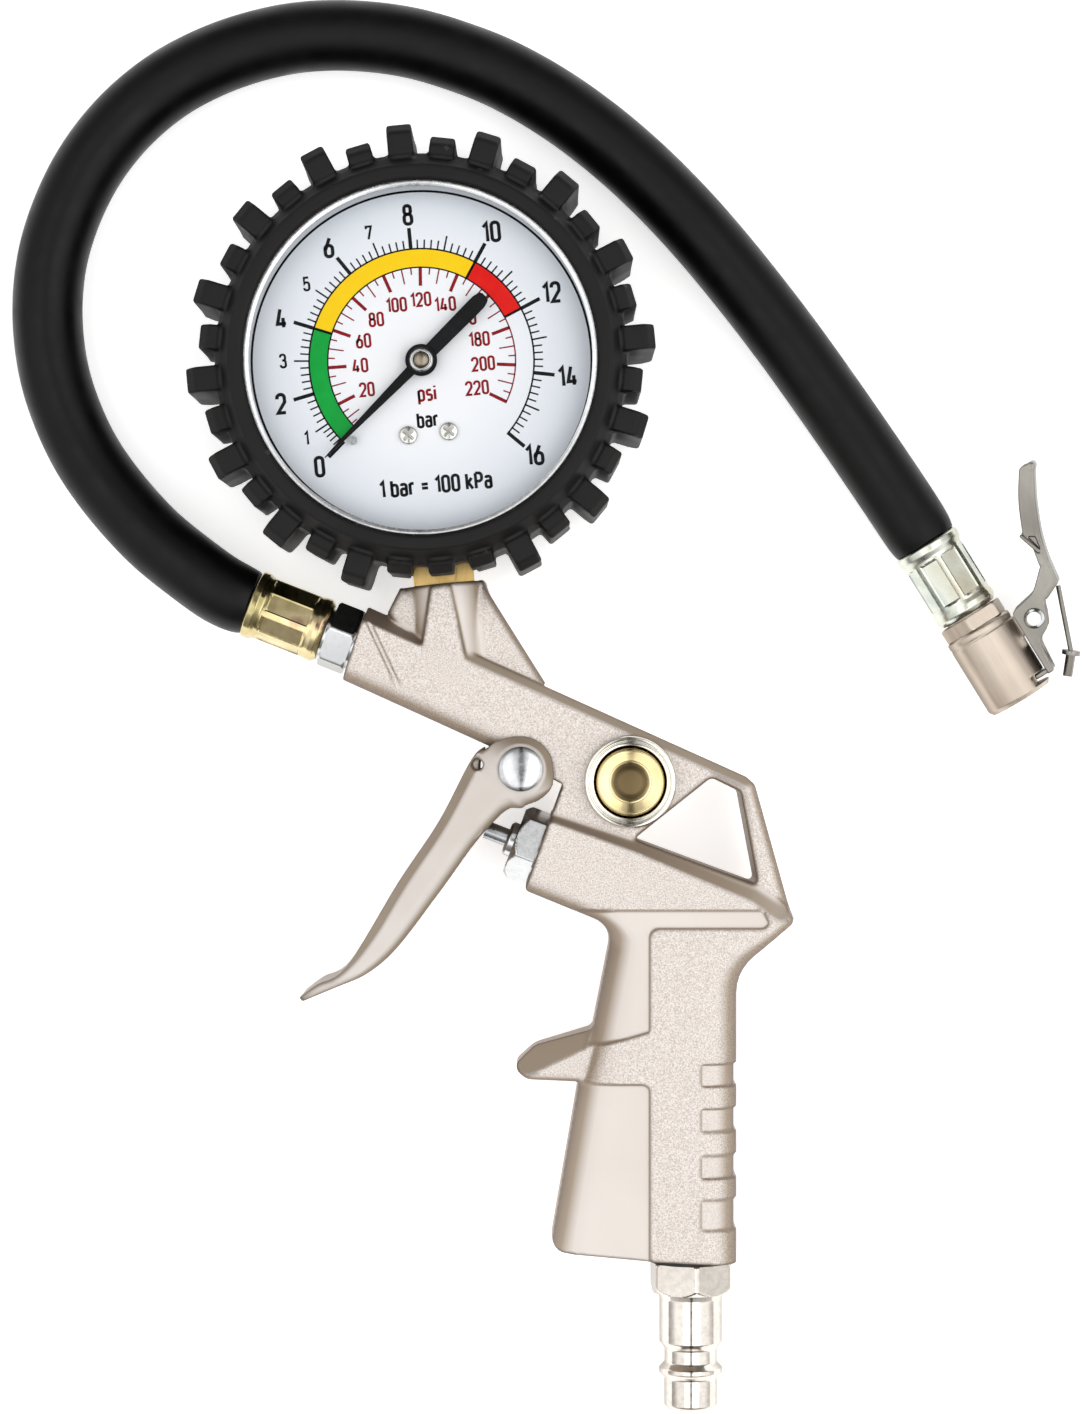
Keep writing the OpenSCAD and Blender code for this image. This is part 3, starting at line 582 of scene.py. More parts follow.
PLATE = [
    (-32.8, 16.3), (-5.4, 3.9), (5.0, -1.5), (7.7, -2.9), (5.7, -8.4), (14, -16), (40, -27.5),
    (44.3, -28), (49.8, -27.4), (43, -3, 1.2), (41.4, -1.5, 1.2), (-28.2, 29.8)]
WINDOW = [(20.6, -13.0, 0.6), (34.9, -1.6, 1.4), (40.2, -4.2, 0.8), (43.4, -21.3, 0.8)]
TOP_EDGE = [(-28.2, 29.8), (41.5, -1.6)]
LOWER_EDGE = [(-32.8, 16.3), (-5.4, 3.9), (3.0, -1.0)]
REAR_RAIL = [(43, -3), (49.8, -27.4)]
SEAM = [(-27.8, 26.7), (-20.6, 11.3), (-5.6, 3.8)]
HEAVY_FRONT = [
    (0.6, -22.2, 1.0), (16.87, -28.86, 4.5), (15.9, -33.8, 6), (13.1, -48.1), (10.6, -57.4),
    (5.3, -88.2, 2.4), (24.0, -89.9)]
HEAVY_REAR = [
    (39.6, -90.7), (39.6, -37.1, 9), (49.9, -28.2, 1.4), (49.8, -27.2), (48.6, -25)]
TOE = [(5.7, -8.4), (21.2, -13.3), (43.2, -21.6), (48.4, -25.0)]
RAISED = [
    (23.5, -29.1, 1.6), (44.3, -29.1, 1.2), (45.3, -28.2, 0.3), (44.1, -25.9, 0.3), (0, -25.9),
    (0, 0), (60, 0), (60, -95), (23.5, -95), (23.5, -57.6, 1.3), (2, -57.6), (2, -50.4),
    (15.1, -50.2), (18.8, -49.3), (23.5, -47.9)]
REST = [
    (-1.5, -54.7, 1.5), (2.6, -50.9, 4), (13.1, -47.9), (24, -46), (24, -57.5), (10.6, -57.4),
    (1.0, -57.0, 2.6)]
RIB = [(-16.5, 33.4), (-12.8, 33.7), (-9.9, 19.7), (-9.5, 14), (-18, 17), (-18.0, 23.35)]
RIGHT_WEB = [(-7.2, 34.4), (4.6, 15.6), (-4, 13), (-12, 15)]
LEFT_WEB = [(-22.2, 33.3), (-24.6, 28.6), (-20, 22), (-18, 32)]
NOTCHES = [(-57.8, -53.9), (-66.1, -62.0), (-74.6, -70.6), (-84.1, -78.7)]
NOTCH_LEFT = 32.9
NOTCH_DEPTH = 0.5
SEAM_R = 0.42
REST_TOP = [(-1.5, -54.7), (13.1, -47.9)]
REST_SLOPE = 2.6


def above(edge, x, y):
    """Distance past a straight edge, positive on its left side."""
    (ax, ay), (bx, by) = edge
    ex, ey = bx - ax, by - ay
    return ((y - ay) * ex - (x - ax) * ey) / math.hypot(ex, ey)


def heavy_outline():
    front = rounded_path([TOE[0]] + HEAVY_FRONT, closed=False)[1:]
    rear = rounded_path(HEAVY_REAR, closed=False)
    return front + rear + [TOE[2], TOE[1], TOE[0]]


def raised_share(x, y):
    """1 on the raised sandy land of the grip and chamber, 0 in the smooth panels."""
    return step_up(-outline_distance(rounded_path(RAISED), x, y), -0.3, 0.3)


def notch_share(x, y):
    """1 in the shallow notches down the back of the grip."""
    share = np.zeros(np.broadcast(x, y).shape, np.float32)
    for low, high in NOTCHES:
        inside = np.minimum(np.minimum(y - low, high - y), x - NOTCH_LEFT)
        share = np.maximum(share, step_up(inside, -0.15, 0.15))
    return share


def plate_part(x, y, z):
    """Beam, window plate and rear rail: one plane on each side."""
    face = z - BEAM_HALF
    solid = corner(outline_distance(rounded_path(PLATE), x, y), face, 0.5)
    solid = np.maximum(solid, corner(-line_distance(LOWER_EDGE, x, y), face, 4.4))
    solid = np.maximum(solid, corner(-line_distance(REAR_RAIL, x, y), face, 2.6))
    width = 1.7 + 0.9 * step_up(-x, 14, 17)
    steep = 1.0 + 1.4 * step_up(-x, 14, 17)
    chamfer = steep * (above(TOP_EDGE, x, y) + width) + face
    solid = cut(solid, -chamfer / np.sqrt(1 + steep * steep), 0.25)
    window = outline_distance(rounded_path(WINDOW), x, y)
    return np.maximum(solid, corner(-window, face, 1.1))


def heavy_part(x, y, z):
    """Valve chamber, grip tube and fin, with their lands, panels and notches."""
    chamber = step_up(y, -26.2, -25.6)
    half = PANEL_HALF + (GRIP_HALF - PANEL_HALF) * raised_share(x, y)
    face = z - half + (GRIP_HALF - CHAMBER_HALF) * chamber
    solid = corner(outline_distance(heavy_outline(), x, y), face, 0.6)
    front = line_distance(rounded_path(HEAVY_FRONT[:-1], closed=False), x, y)
    front_r = 3.6 + 3.2 * step_up(-y, 27, 33)
    solid = np.maximum(solid, corner(-front, face, front_r))
    rear = line_distance(rounded_path(HEAVY_REAR, closed=False), x, y)
    rear_r = 3.0 + 3.0 * step_up(-y, 30, 40)
    solid = np.maximum(solid, corner(-rear, face, rear_r))
    width = 1.1 + 1.9 * np.clip((x - TOE[0][0]) / 40, 0, 1)
    rise = (CHAMBER_HALF - BEAM_HALF) / width
    slope = (z - BEAM_HALF - line_distance(TOE, x, y) * rise) / np.sqrt(1 + rise * rise)
    return cut(solid, -slope, 0.3) + NOTCH_DEPTH * notch_share(x, y)


def boss_part(x, y, z):
    """The round boss that takes the gauge, its flat rib and its two webs."""
    tilt = math.radians(GAUGE_TILT)
    across = (x - GAUGE_U) * math.cos(tilt) + (y - GAUGE_V) * math.sin(tilt)
    out = -(y - GAUGE_V) * math.cos(tilt) + (x - GAUGE_U) * math.sin(tilt)
    side = np.hypot(across, z) - BOSS_R
    boss = np.maximum(corner(side, STEM_LOCAL - out, 0.8), out - STEM_LOCAL - 20)
    rib = corner(outline_distance(rounded_path(RIB), x, y), z - BEAM_HALF, 0.7)
    rib = np.maximum(rib, STEM_LOCAL - out + 0.1)
    web = corner(outline_distance(RIGHT_WEB, x, y), z - WEB_HALF, 2.2)
    small = corner(outline_distance(LEFT_WEB, x, y), z - WEB_HALF + 0.5, 1.5)
    return join(join(join(boss, rib, 0.5), web, 1.0), small, 0.8)


def gun_bores(block, solid):
    """The ports and bores, each where its fitting or moving piece sits."""
    stem_x, stem_y = polar(STEM_LOCAL, GAUGE_TILT - 90)
    gauge_mouth = (GAUGE_U + stem_x, GAUGE_V + stem_y)
    tools = [
        rod(block, PORT, PORT_ANGLE, (-8.2, 3), 5.0),
        rod(block, PORT, PORT_ANGLE, (-54, -6), 3.0),
        rod(block, gauge_mouth, GAUGE_TILT - 90, (-2, 11.2), 4.95),
        rod(block, VALVE, VALVE_ANGLE, (-2, 7.1), 5.05),
        rod(block, VALVE, VALVE_ANGLE, (0, 14), 4.6),
        rod(block, VALVE, VALVE_ANGLE, (13.5, 33), 5.7),
        rod(block, (10.9, -17.9), 90.5, (0, 25), 2.4),
        rod(block, (PLUG_U, -24), -90, (0, 60), 5.0),
        rod(block, (PLUG_U, GRIP_END), -90, (-11.5, 3), 6.65),
        post(block, BLEED, (2, 12), 7.1),
        post(block, BLEED, (-10, 1.2), 3.7),
        post(block, BLEED, (-6, 4), 2.1),
        post(block, (0, 0), (-12, 12), 2.05)]
    for tool in tools:
        solid = np.maximum(solid, -tool)
    return solid


def make_gun_body():
    step = 0.3
    block = Block((-34, -91, -11), (51, 35.5, 11), step)
    x, y, z = block.x, block.y, abs(block.z)
    solid = join(plate_part(x, y, z), heavy_part(x, y, z), 0.8)
    solid = join(solid, boss_part(x, y, z), 0.5)
    rest = corner(outline_distance(rounded_path(REST), x, y), z - REST_HALF, 1.6)
    rest_slope = (above(REST_TOP, x, y) + z - REST_HALF + REST_SLOPE) * math.sqrt(0.5)
    solid = join(solid, np.maximum(rest, rest_slope), 0.8)
    solid = np.minimum(solid, post(block, (0, 0), (-BEAM_HALF, BEAM_HALF), 5.5))
    solid = np.minimum(solid, post(block, BLEED, (-BEAM_HALF, BEAM_HALF + 0.3), 8.4))
    groove = np.hypot(line_distance(SEAM, x, y), z - BEAM_HALF) - SEAM_R
    solid = gun_bores(block, np.maximum(solid, -groove))
    piece = block.surface("gun_casting", np.maximum(solid, z - GRIP_HALF), TOOL)
    mark_smooth(piece, block.points)
    return piece


def mark_smooth(piece, points):
    """Stores where the enamel is smooth: panels, notches, chamfers and the boss's round sides."""
    x, y, z = points[:, 0], points[:, 1], abs(points[:, 2])
    panel = (1 - raised_share(x, y)) * step_up(-y, 25.6, 26.2)
    rest = step_up(-outline_distance(rounded_path(REST), x, y), -0.2, 0.4)
    panel = panel * (1 - rest * step_up(-x, -13, -11))
    strip = step_up(above(TOP_EDGE, x, y), -2.6, -1.9) * step_up(BEAM_HALF - z, 0.1, 0.4)
    strip = strip * step_up(-above(TOP_EDGE, x, y), -0.3, 0.1)
    slope = (1 - step_up(line_distance(TOE, x, y), 2.8, 3.4)) * step_up(z, 8.3, 8.5)
    slope = slope * step_up(10.75 - z, 0, 0.2)
    boss = step_up(above(TOP_EDGE, x, y), -0.4, 0.2) * step_up(8.0 - z, 0, 0.2)
    boss = boss * step_up(z, 5.2, 5.4)
    rest_slope = rest * step_up(-x, -13, -11) * step_up(REST_HALF - z, 0.1, 0.5)
    parts = [panel, 0.5 * notch_share(x, y), strip, slope, boss, rest_slope]
    smooth = np.maximum.reduce([np.asarray(part, np.float32) for part in parts])
    piece.data.attributes.new("smooth", "FLOAT", "POINT").data.foreach_set("value", smooth)


# --- Trigger ---

TRIGGER_HALF = 10.5
CHEEK = 2.0
KNUCKLE_R = 7.0
TRIGGER_OUTER = [
    (-6, 3.6), (-8.9, 1.9), (-15, -9.6), (-22.4, -20.7), (-31.7, -35.9), (-37.2, -39.3), (-40.4, -41.7)]
TRIGGER_INNER = [
    (-39.8, -42.4), (-33.5, -39.8), (-28, -37.4), (-22.4, -32.8), (-15, -23.5), (-7.6, -13.3), (-1.7, -7)]
CHANNEL = [
    (-6.3, 6), (-6.7, 0.9), (-12.8, -10.8), (-20.2, -22), (-27.5, -34.2), (-25, -42), (-5, -24),
    (12, -10), (12, 9), (-2, 9)]


def curved(points, steps=6):
    """A smooth run through the points, by Catmull and Rom's rule."""
    ends = [points[0]] + list(points) + [points[-1]]
    result = []
    for a, b, c, d in zip(ends, ends[1:], ends[2:], ends[3:]):
        a, b, c, d = (Vector(p) for p in (a, b, c, d))
        for step in range(steps):
            t = step / steps
            spot = (2 * b + (c - a) * t + (2 * a - 5 * b + 4 * c - d) * t * t
                    + (3 * b - a - 3 * c + d) * t ** 3) / 2
            result.append(tuple(spot))
    return result + [tuple(points[-1])]


def make_trigger():
    block = Block((-41.5, -43.5, -10.5), (7.5, 7.5, 10.5), 0.26)
    x, y, z = block.x, block.y, abs(block.z)
    face = z - TRIGGER_HALF
    outline = curved(TRIGGER_OUTER) + curved(TRIGGER_INNER) + [(0, -7), (0, 7)]
    knuckle = np.hypot(x, y) - KNUCKLE_R
    edge = join(outline_distance(outline, x, y), knuckle, 2.5)
    inner = line_distance(curved(TRIGGER_INNER), x, y)
    front = line_distance(curved(TRIGGER_OUTER[1:]), x, y)
    width = inner + front
    round_side = step_up(front - np.minimum(inner, abs(knuckle)), -1.0, 1.5)
    radius = 0.5 + (np.minimum(3.2, 0.42 * width) - 0.5) * round_side
    solid = corner(edge, face, radius)
    strip = np.minimum(1.7, 0.26 * width)
    chamfer = (face + (strip - front) * 1.25) / 1.6
    solid = cut(solid, -chamfer, 0.3)
    away = np.clip(0.55 + 0.07 * (x + 1.2 * y), 0, 1)
    cone = (face + 1.15 * away * (np.hypot(x, y) - PIN_HEAD - 0.4)) / 1.5
    solid = np.where(knuckle < 1.5, np.maximum(solid, cone), solid)
    pit = np.maximum(np.hypot(x + 7.9, y - 0.8) - 1.0, TRIGGER_HALF - 3 - z)
    solid = cut(solid, pit, 0.3)
    channel = outline_distance(CHANNEL, x, y)
    hollow = np.maximum(np.minimum(channel, np.hypot(x, y) - 7.6), z - TRIGGER_HALF + CHEEK)
    solid = cut(solid, hollow, 0.4)
    pusher = post(block, (-9.6, -10.2), (-TRIGGER_HALF + 1, TRIGGER_HALF - 1), 3.0)
    solid = np.minimum(solid, pusher)
    solid = np.maximum(solid, -post(block, (0, 0), (-12, 12), 2.06))
    return block.surface("trigger_casting", solid, TOOL)


# --- Gauge boot ---

BOOT_PROFILE = [
    (28.5, 0), (36, 0), (37.3, 1.3), (37.3, 26), (36.2, 28.3), (34.6, 31), (32.4, 31), (31.6, 30.2),
    (32.4, 29.5), (34.9, 29.5), (34.9, 23.8), (34.1, 23.8), (34.1, 2), (28.5, 2)]
LUG_HALF = 2.3
TALL_R, SHORT_R, STUB_R = 42.5, 40.2, 39.0
LUG_PITCH = 11.25
LUG_TOP = 28.9


def make_boot():
    block = Block((-43.5, -43.5, 0), (43.5, 43.5, 31), 0.38)
    x, y, z = block.x, block.y, block.z
    radius = np.hypot(x, y)
    shell = outline_distance(BOOT_PROFILE, radius, z)
    angle = np.degrees(np.arctan2(y, x)) % 360
    index = np.round(angle / LUG_PITCH)
    turn = np.radians(angle - index * LUG_PITCH)
    across, out = radius * np.sin(turn), radius * np.cos(turn)
    reach = np.where(index % 2 == 0, TALL_R, SHORT_R)
    reach = np.where(abs(index - 24) <= 1, STUB_R, reach)
    side = abs(across) - LUG_HALF - 0.25 * np.clip((12 - z) / 12, 0, 1)
    end = np.maximum(out - reach, (out - reach + 1.6 + (z - LUG_TOP) * 0.8) * 0.78)
    end = np.maximum(end, (out - reach + 1.6 + (3 - z) * 1.0) * 0.7)
    top = np.maximum(z - LUG_TOP, (36.9 - out + (z - LUG_TOP)) * 0.7)
    lug = np.maximum(corner(corner(side, end, 0.45), top, 0.35), np.maximum(3 - z, 35.6 - out))
    solid = join(shell, lug, 0.7)
    stem_gap = np.maximum(np.maximum(abs(x) - 6.2, abs(y + 37) - 5.5), z - 17.2)
    return block.surface("boot_rubber_shell", np.maximum(solid, -stem_gap), GAUGE)


# --- Dial printing ---

DIAL_TOP = 22.7
PRINT_THICK = 0.05
ZERO_ANGLE = 220.5
BAR_STEP = 16.9
PSI_PER_BAR = 14.504
BAND_IN, BAND_OUT = 17.2, 20.3
DIAL_RIM = 31.1


def bowl(right, low, high, curve, left=0.0):
    """A closed round-cornered loop in a letter."""
    middle = (low + high) / 2
    return [(left, middle), (left, high, curve), (right, high, curve), (right, low, curve),
            (left, low, curve), (left, middle)]


# Narrow upright letters one unit high: each is its width and its strokes' middle lines.
LETTERS = {
    "0": (0.4, bowl(0.4, 0, 1, 0.18)),
    "1": (0.2, [(0, 0.78), (0.2, 1), (0.2, 0)]),
    "2": (0.4, [(0, 0.76), (0, 1, 0.18), (0.4, 1, 0.18), (0.4, 0.58, 0.1), (0, 0), (0.42, 0)]),
    "3": (0.4, [(0, 0.8), (0, 1, 0.16), (0.38, 1, 0.17), (0.38, 0.54, 0.15), (0.14, 0.54)],
          [(0.2, 0.54), (0.4, 0.54, 0.16), (0.4, 0, 0.18), (0, 0, 0.17), (0, 0.2)]),
    "4": (0.44, [(0.2, 1), (0, 0.2), (0.46, 0.2)], [(0.32, 0.52), (0.32, 0)]),
    "5": (0.4, [(0.38, 1), (0.04, 1), (0.02, 0.5), (0.1, 0.62, 0.08), (0.4, 0.62, 0.17), (0.4, 0, 0.18),
                (0, 0, 0.17), (0, 0.2)]),
    "6": (0.4, bowl(0.4, 0, 0.6, 0.18), [(0.28, 1), (0.01, 0.36)]),
    "7": (0.4, [(0, 0.82), (0, 1), (0.4, 1), (0.14, 0)]),
    "8": (0.4, bowl(0.4, 0, 0.53, 0.18), bowl(0.37, 0.53, 1, 0.16, 0.03)),
    "a": (0.34, [(0.02, 0.62), (0.06, 0.72, 0.05), (0.34, 0.72, 0.14), (0.34, 0)],
          bowl(0.34, 0, 0.42, 0.12)),
    "b": (0.36, [(0, 1), (0, 0)], bowl(0.36, 0, 0.72, 0.15)),
    "i": (0.02, [(0, 0), (0, 0.72)], [(0, 0.88), (0, 1.0)]),
    "k": (0.34, [(0, 1), (0, 0)], [(0.32, 0.72), (0.02, 0.3)], [(0.1, 0.42), (0.36, 0)]),
    "p": (0.36, [(0, 0.72), (0, -0.27)], bowl(0.36, 0, 0.72, 0.15)),
    "r": (0.24, [(0, 0), (0, 0.72)], [(0, 0.5), (0.02, 0.72, 0.12), (0.26, 0.72)]),
    "s": (0.32, [(0.3, 0.72), (0, 0.72, 0.13), (0, 0.38, 0.12), (0.32, 0.38, 0.12), (0.32, 0, 0.13),
                 (0, 0)]),
    "P": (0.4, [(0, 0), (0, 1)], [(0, 1), (0.4, 1, 0.2), (0.4, 0.46, 0.2), (0, 0.46)]),
    "=": (0.4, [(0, 0.6), (0.4, 0.6)], [(0, 0.34), (0.4, 0.34)]),
    " ": (0.04,)}
LETTER_GAP = 0.25


def bar_angle(bar):
    """The dial angle of a pressure. The first bar is drawn shorter than the rest."""
    if bar >= 1:
        return 90 + (8 - bar) * BAR_STEP
    return ZERO_ANGLE + bar * (90 + 7 * BAR_STEP - ZERO_ANGLE)


def polar(radius, angle):
    """The point at a radius and an angle in degrees."""
    return (radius * math.cos(math.radians(angle)), radius * math.sin(math.radians(angle)))


class Print:
    """Flat marks on the dial, gathered into one mesh. Each mark is a closed ribbon."""

    def __init__(self, name, low=DIAL_TOP, high=DIAL_TOP + PRINT_THICK):
        self.name, self.low, self.high = name, low, high
        self.points, self.faces = [], []

    def ribbon(self, path, widths):
        """A ribbon along a path, with its width at each point and mitred corners."""
        start, last = len(self.points), len(path) - 1
        for i, (here, width) in enumerate(zip(path, widths)):
            here = Vector(here)
            back = (here - Vector(path[i - 1])).normalized() if i else None
            ahead = (Vector(path[i + 1]) - here).normalized() if i < last else back
            back = back or ahead
            along = (back + ahead).normalized()
            reach = min(width / 2 / max(along.dot(ahead), 0.3), width)
            aside = Vector((-along.y, along.x)) * reach
            for spot, height in ((here - aside, self.low), (here + aside, self.low),
                                 (here + aside, self.high), (here - aside, self.high)):
                self.points.append((*spot, height))
        for i in range(last):
            a = start + 4 * i
            for j in range(4):
                k = (j + 1) % 4
                self.faces.append([a + j, a + 4 + j, a + 4 + k, a + k][::-1])
        self.faces.append([start + j for j in range(4)][::-1])
        self.faces.append([start + 4 * last + j for j in range(4)])

    def tick(self, angle, start, end, width):
        self.ribbon([polar(start, angle), polar(end, angle)], (width, width))

    def arc(self, inner, outer, start, end):
        """A ring sector, counter-clockwise from start to end degrees."""
        steps = max(1, round(abs(end - start) / 2))
        middle = (inner + outer) / 2
        path = [polar(middle, start + (end - start) * i / steps) for i in range(steps + 1)]
        self.ribbon(path, [outer - inner] * len(path))

    def text(self, words, centre, height, width):
        """Words in narrow letters of a height over all, about a centre, with strokes of a width."""
        size = height - width
        gaps = LETTER_GAP * (len(words) - 1)
        left = centre[0] - size * (sum(LETTERS[letter][0] for letter in words) + gaps) / 2
        for letter in words:
            for stroke in LETTERS[letter][1:]:
                path = rounded_path(stroke, closed=False)
                path = [(left + x * size, centre[1] + (y - 0.5) * size) for x, y in path]
                self.ribbon(path, [width] * len(path))
            left += size * (LETTERS[letter][0] + LETTER_GAP)

    def build(self, material, slot="dial_white", body="gun", nodes=()):
        mesh = new_mesh(self.name, self.points, self.faces)
        mesh.transform(GAUGE)
        mesh.validate()
        finish_piece(link(self.name, mesh), material, slot, body, *nodes)


def print_bands():
    for name, start, end, colours in (
            ("print_green", 0, 4, ((0, 158, 60), (4, 170, 66))),
            ("print_yellow", 4, 10, ((255, 208, 0), (255, 214, 0))),
            ("print_red", 10, 12, ((222, 18, 10), (234, 26, 14)))):
        band = Print(name)
        band.arc(BAND_IN, BAND_OUT, bar_angle(end), bar_angle(start))
        band.build(ink(name + "_ink", *colours))


def print_black():
    black = Print("print_black")
    black.arc(BAND_OUT, BAND_OUT + 0.3, bar_angle(16), bar_angle(0))
    black.arc(BAND_IN - 0.26, BAND_IN, bar_angle(12), bar_angle(0))
    # Painted shadow: this thin black ring round the dial's edge stands for the shadow in the gap under the
    # bezel.
    black.arc(DIAL_RIM - 0.4, DIAL_RIM, 0, 360)
    for bar in (4, 10, 12):
        black.tick(bar_angle(bar), BAND_IN - 0.15, BAND_OUT + 0.2, 0.46)
    for fifth in range(81):
        size = (24.3, 0.66) if fifth % 10 == 0 else (23.2, 0.3) if fifth % 5 == 0 else (22.1, 0.27)
        black.tick(bar_angle(fifth / 5), BAND_OUT, *size)
    for bar in range(0, 17, 2):
        black.text(str(bar), polar(26.7, bar_angle(bar)), 3.95, 0.62)
    for bar in (1, 3, 5, 7):
        black.text(str(bar), polar(25.2, bar_angle(bar)), 2.7, 0.4)
    black.text("bar", (0.1, -10.7), 2.95, 0.48)
    black.text("1 bar = 100 kPa", (0.4, -22.6), 3.3, 0.54)
    black.build(ink("black_ink", (6, 6, 8), (18, 18, 22)))


def print_crimson():
    crimson = Print("print_crimson")
    last = bar_angle(220 / PSI_PER_BAR)
    crimson.arc(BAND_IN - 0.24, BAND_IN, last, bar_angle(12))
    for psi in range(5, 221, 5):
        start, width = (13.7, 0.6) if psi % 20 == 0 else (14.3 if psi % 10 == 0 else 15.8, 0.24)
        crimson.tick(bar_angle(psi / PSI_PER_BAR), start, BAND_IN, width)
    for psi in range(20, 221, 20):
        crimson.text(str(psi), polar(11.2, bar_angle(psi / PSI_PER_BAR)), 2.7, 0.42)
    crimson.text("psi", (0.4, -5.9), 2.95, 0.46)
    crimson.build(ink("crimson_ink", (128, 8, 20), (150, 16, 30)))


NEEDLE_ANGLE = ZERO_ANGLE - 0.6
NEEDLE = [
    (-16.4, 1.1), (-16.2, 1.9), (-15.6, 2.5), (-14.8, 2.85), (-13, 2.9), (-2, 2.6), (2.4, 1.9),
    (12, 1.3), (20, 0.75), (24.9, 0.16)]


def make_needle(material):
    """The pointer's blade as (distance along, width) points, on its round boss."""
    needle = Print("pointer_needle", 24.6, 25.0)
    along, widths = zip(*NEEDLE)
    needle.ribbon([polar(spot, NEEDLE_ANGLE) for spot in along], widths)
    needle.build(material, "pointer_black", "pointer", ["pointer"])
    boss = [(0.6, 24.4), (2.9, 24.4), (2.9, 25.1, 0.15), (2.7, 25.2), (0.6, 25.2)]
    finish_piece(turned("pointer_boss", rounded_path(boss), GAUGE), material, "pointer_black",
                 "pointer", "pointer")


def make_screw_heads(material):
    """Two cross-slotted domed heads on the dial."""
    block = Block((-5.8, -15.2, 22.4), (5.8, -11.2, 23.9), 0.07)
    x, y, z = abs(block.x) - 3.7, block.y + 13.2, block.z
    out = np.hypot(x, y)
    head = corner(out - 1.65, z - 23.5 + 0.1 * out ** 2, 0.15)
    rising, falling = abs(x - y), abs(x + y)
    slot = np.minimum(
        np.maximum(falling - 0.32, rising - 1.6), np.maximum(rising - 0.32, falling - 1.6))
    head = np.maximum(head, DIAL_TOP - z)
    head = np.maximum(head, -np.maximum(slot * 0.7, 23.0 - z))
    piece = block.surface("dial_screw_heads", head, GAUGE)
    finish_piece(piece, material, "steel_small", "gun", "dial_screws")


# --- Hose ---

HOSE_R = 6.5
HOSE_ROUTE = [
    (-50.06, 30.63, 11), (-52.9, 31.7, 11), (-56.4, 33.6, 10.8), (-61.4, 37.2, 10.2),
    (-67.3, 41.9, 9.2), (-72.3, 46.9, 8.2), (-77.3, 52.9, 7.4), (-81.4, 59.1, 6.9),
    (-84.6, 65.9, 6.7), (-86.9, 73, 6.6), (-88.1, 80.6, 6.6), (-88.2, 88.4, 6.6),
    (-87.1, 96.1, 6.6), (-84.7, 103.6, 6.6), (-81.3, 110.7, 6.6), (-76.9, 117.1, 6.6),
    (-71.5, 122.8, 6.6), (-65.1, 127.7, 6.6), (-58.1, 131.4, 6.6), (-51.1, 134, 6.6),
    (-43.5, 135.8, 6.6), (-35.8, 136.5, 6.6), (-28, 136.2, 6.6), (-20.5, 135.1, 6.6),
    (-13, 133, 6.6), (-4.6, 129.8, 6.6), (4, 125.2, 6.6),
    (12.5, 119.4, 6.6), (21.5, 111.9, 6.6), (30.7, 102.7, 6.6), (39.8, 92.1, 6.6),
    (49.5, 79.6, 6.6), (59, 66.3, 6.6), (67.4, 54, 6.8), (72.6, 46.1, 7), (75.25, 41.86, 7)]


def tube(name, path, radii, sides):
    """A closed round tube along a path, with its own radius at each point."""
    points, faces = [], []
    last = len(path) - 1
    for i, (spot, radius) in enumerate(zip(path, radii)):
        ahead = (path[min(i + 1, last)] - path[max(i - 1, 0)]).normalized()
        aside = Vector((0, 0, 1)).cross(ahead).normalized()
        up = ahead.cross(aside)
        for j in range(sides):
            turn = math.tau * j / sides
            points.append(spot + radius * (math.cos(turn) * aside + math.sin(turn) * up))
    for i in range(last):
        for j in range(sides):
            k = (j + 1) % sides
            faces.append([i * sides + k, (i + 1) * sides + k, (i + 1) * sides + j, i * sides + j])
    faces.append(list(range(sides)))
    faces.append([last * sides + j for j in reversed(range(sides))])
    mesh = new_mesh(name, [tuple(p) for p in points], faces)
    mesh.shade_smooth()
    return link(name, mesh)


def make_hose():
    """The hose's tube, with the path that it follows."""
    shift = Vector((PIVOT.x, PIVOT.y, 0))
    route = [shift + Vector(point) * MM for point in HOSE_ROUTE]
    path = [Vector(p) for p in curved(route, 8)]
    length = sum((b - a).length for a, b in zip(path, path[1:]))
    travelled, radii = 0.0, []
    for i, spot in enumerate(path):
        travelled += (spot - path[i - 1]).length if i else 0
        end = min(travelled, length - travelled) / MM
        radii.append((HOSE_R - 0.55 * math.exp(-end / 1.6)) * MM)
    hose = tube("hose_rubber", path, radii, 56)
    finish_piece(hose, hose_rubber(), "hose_rubber", "gun", "hose")
    return hose, path, length


# --- Turned metal parts ---

SHARP_ANGLE = math.radians(24)


def dense(points, step):
    """A closed outline with its long sides cut into short ones."""
    result = []
    for here, there in zip(points, points[1:] + points[:1]):
        parts = max(1, math.ceil(math.dist(here, there) / step))
        for part in range(parts):
            share = part / parts
            result.append(tuple(a + (b - a) * share for a, b in zip(here, there)))
    return result


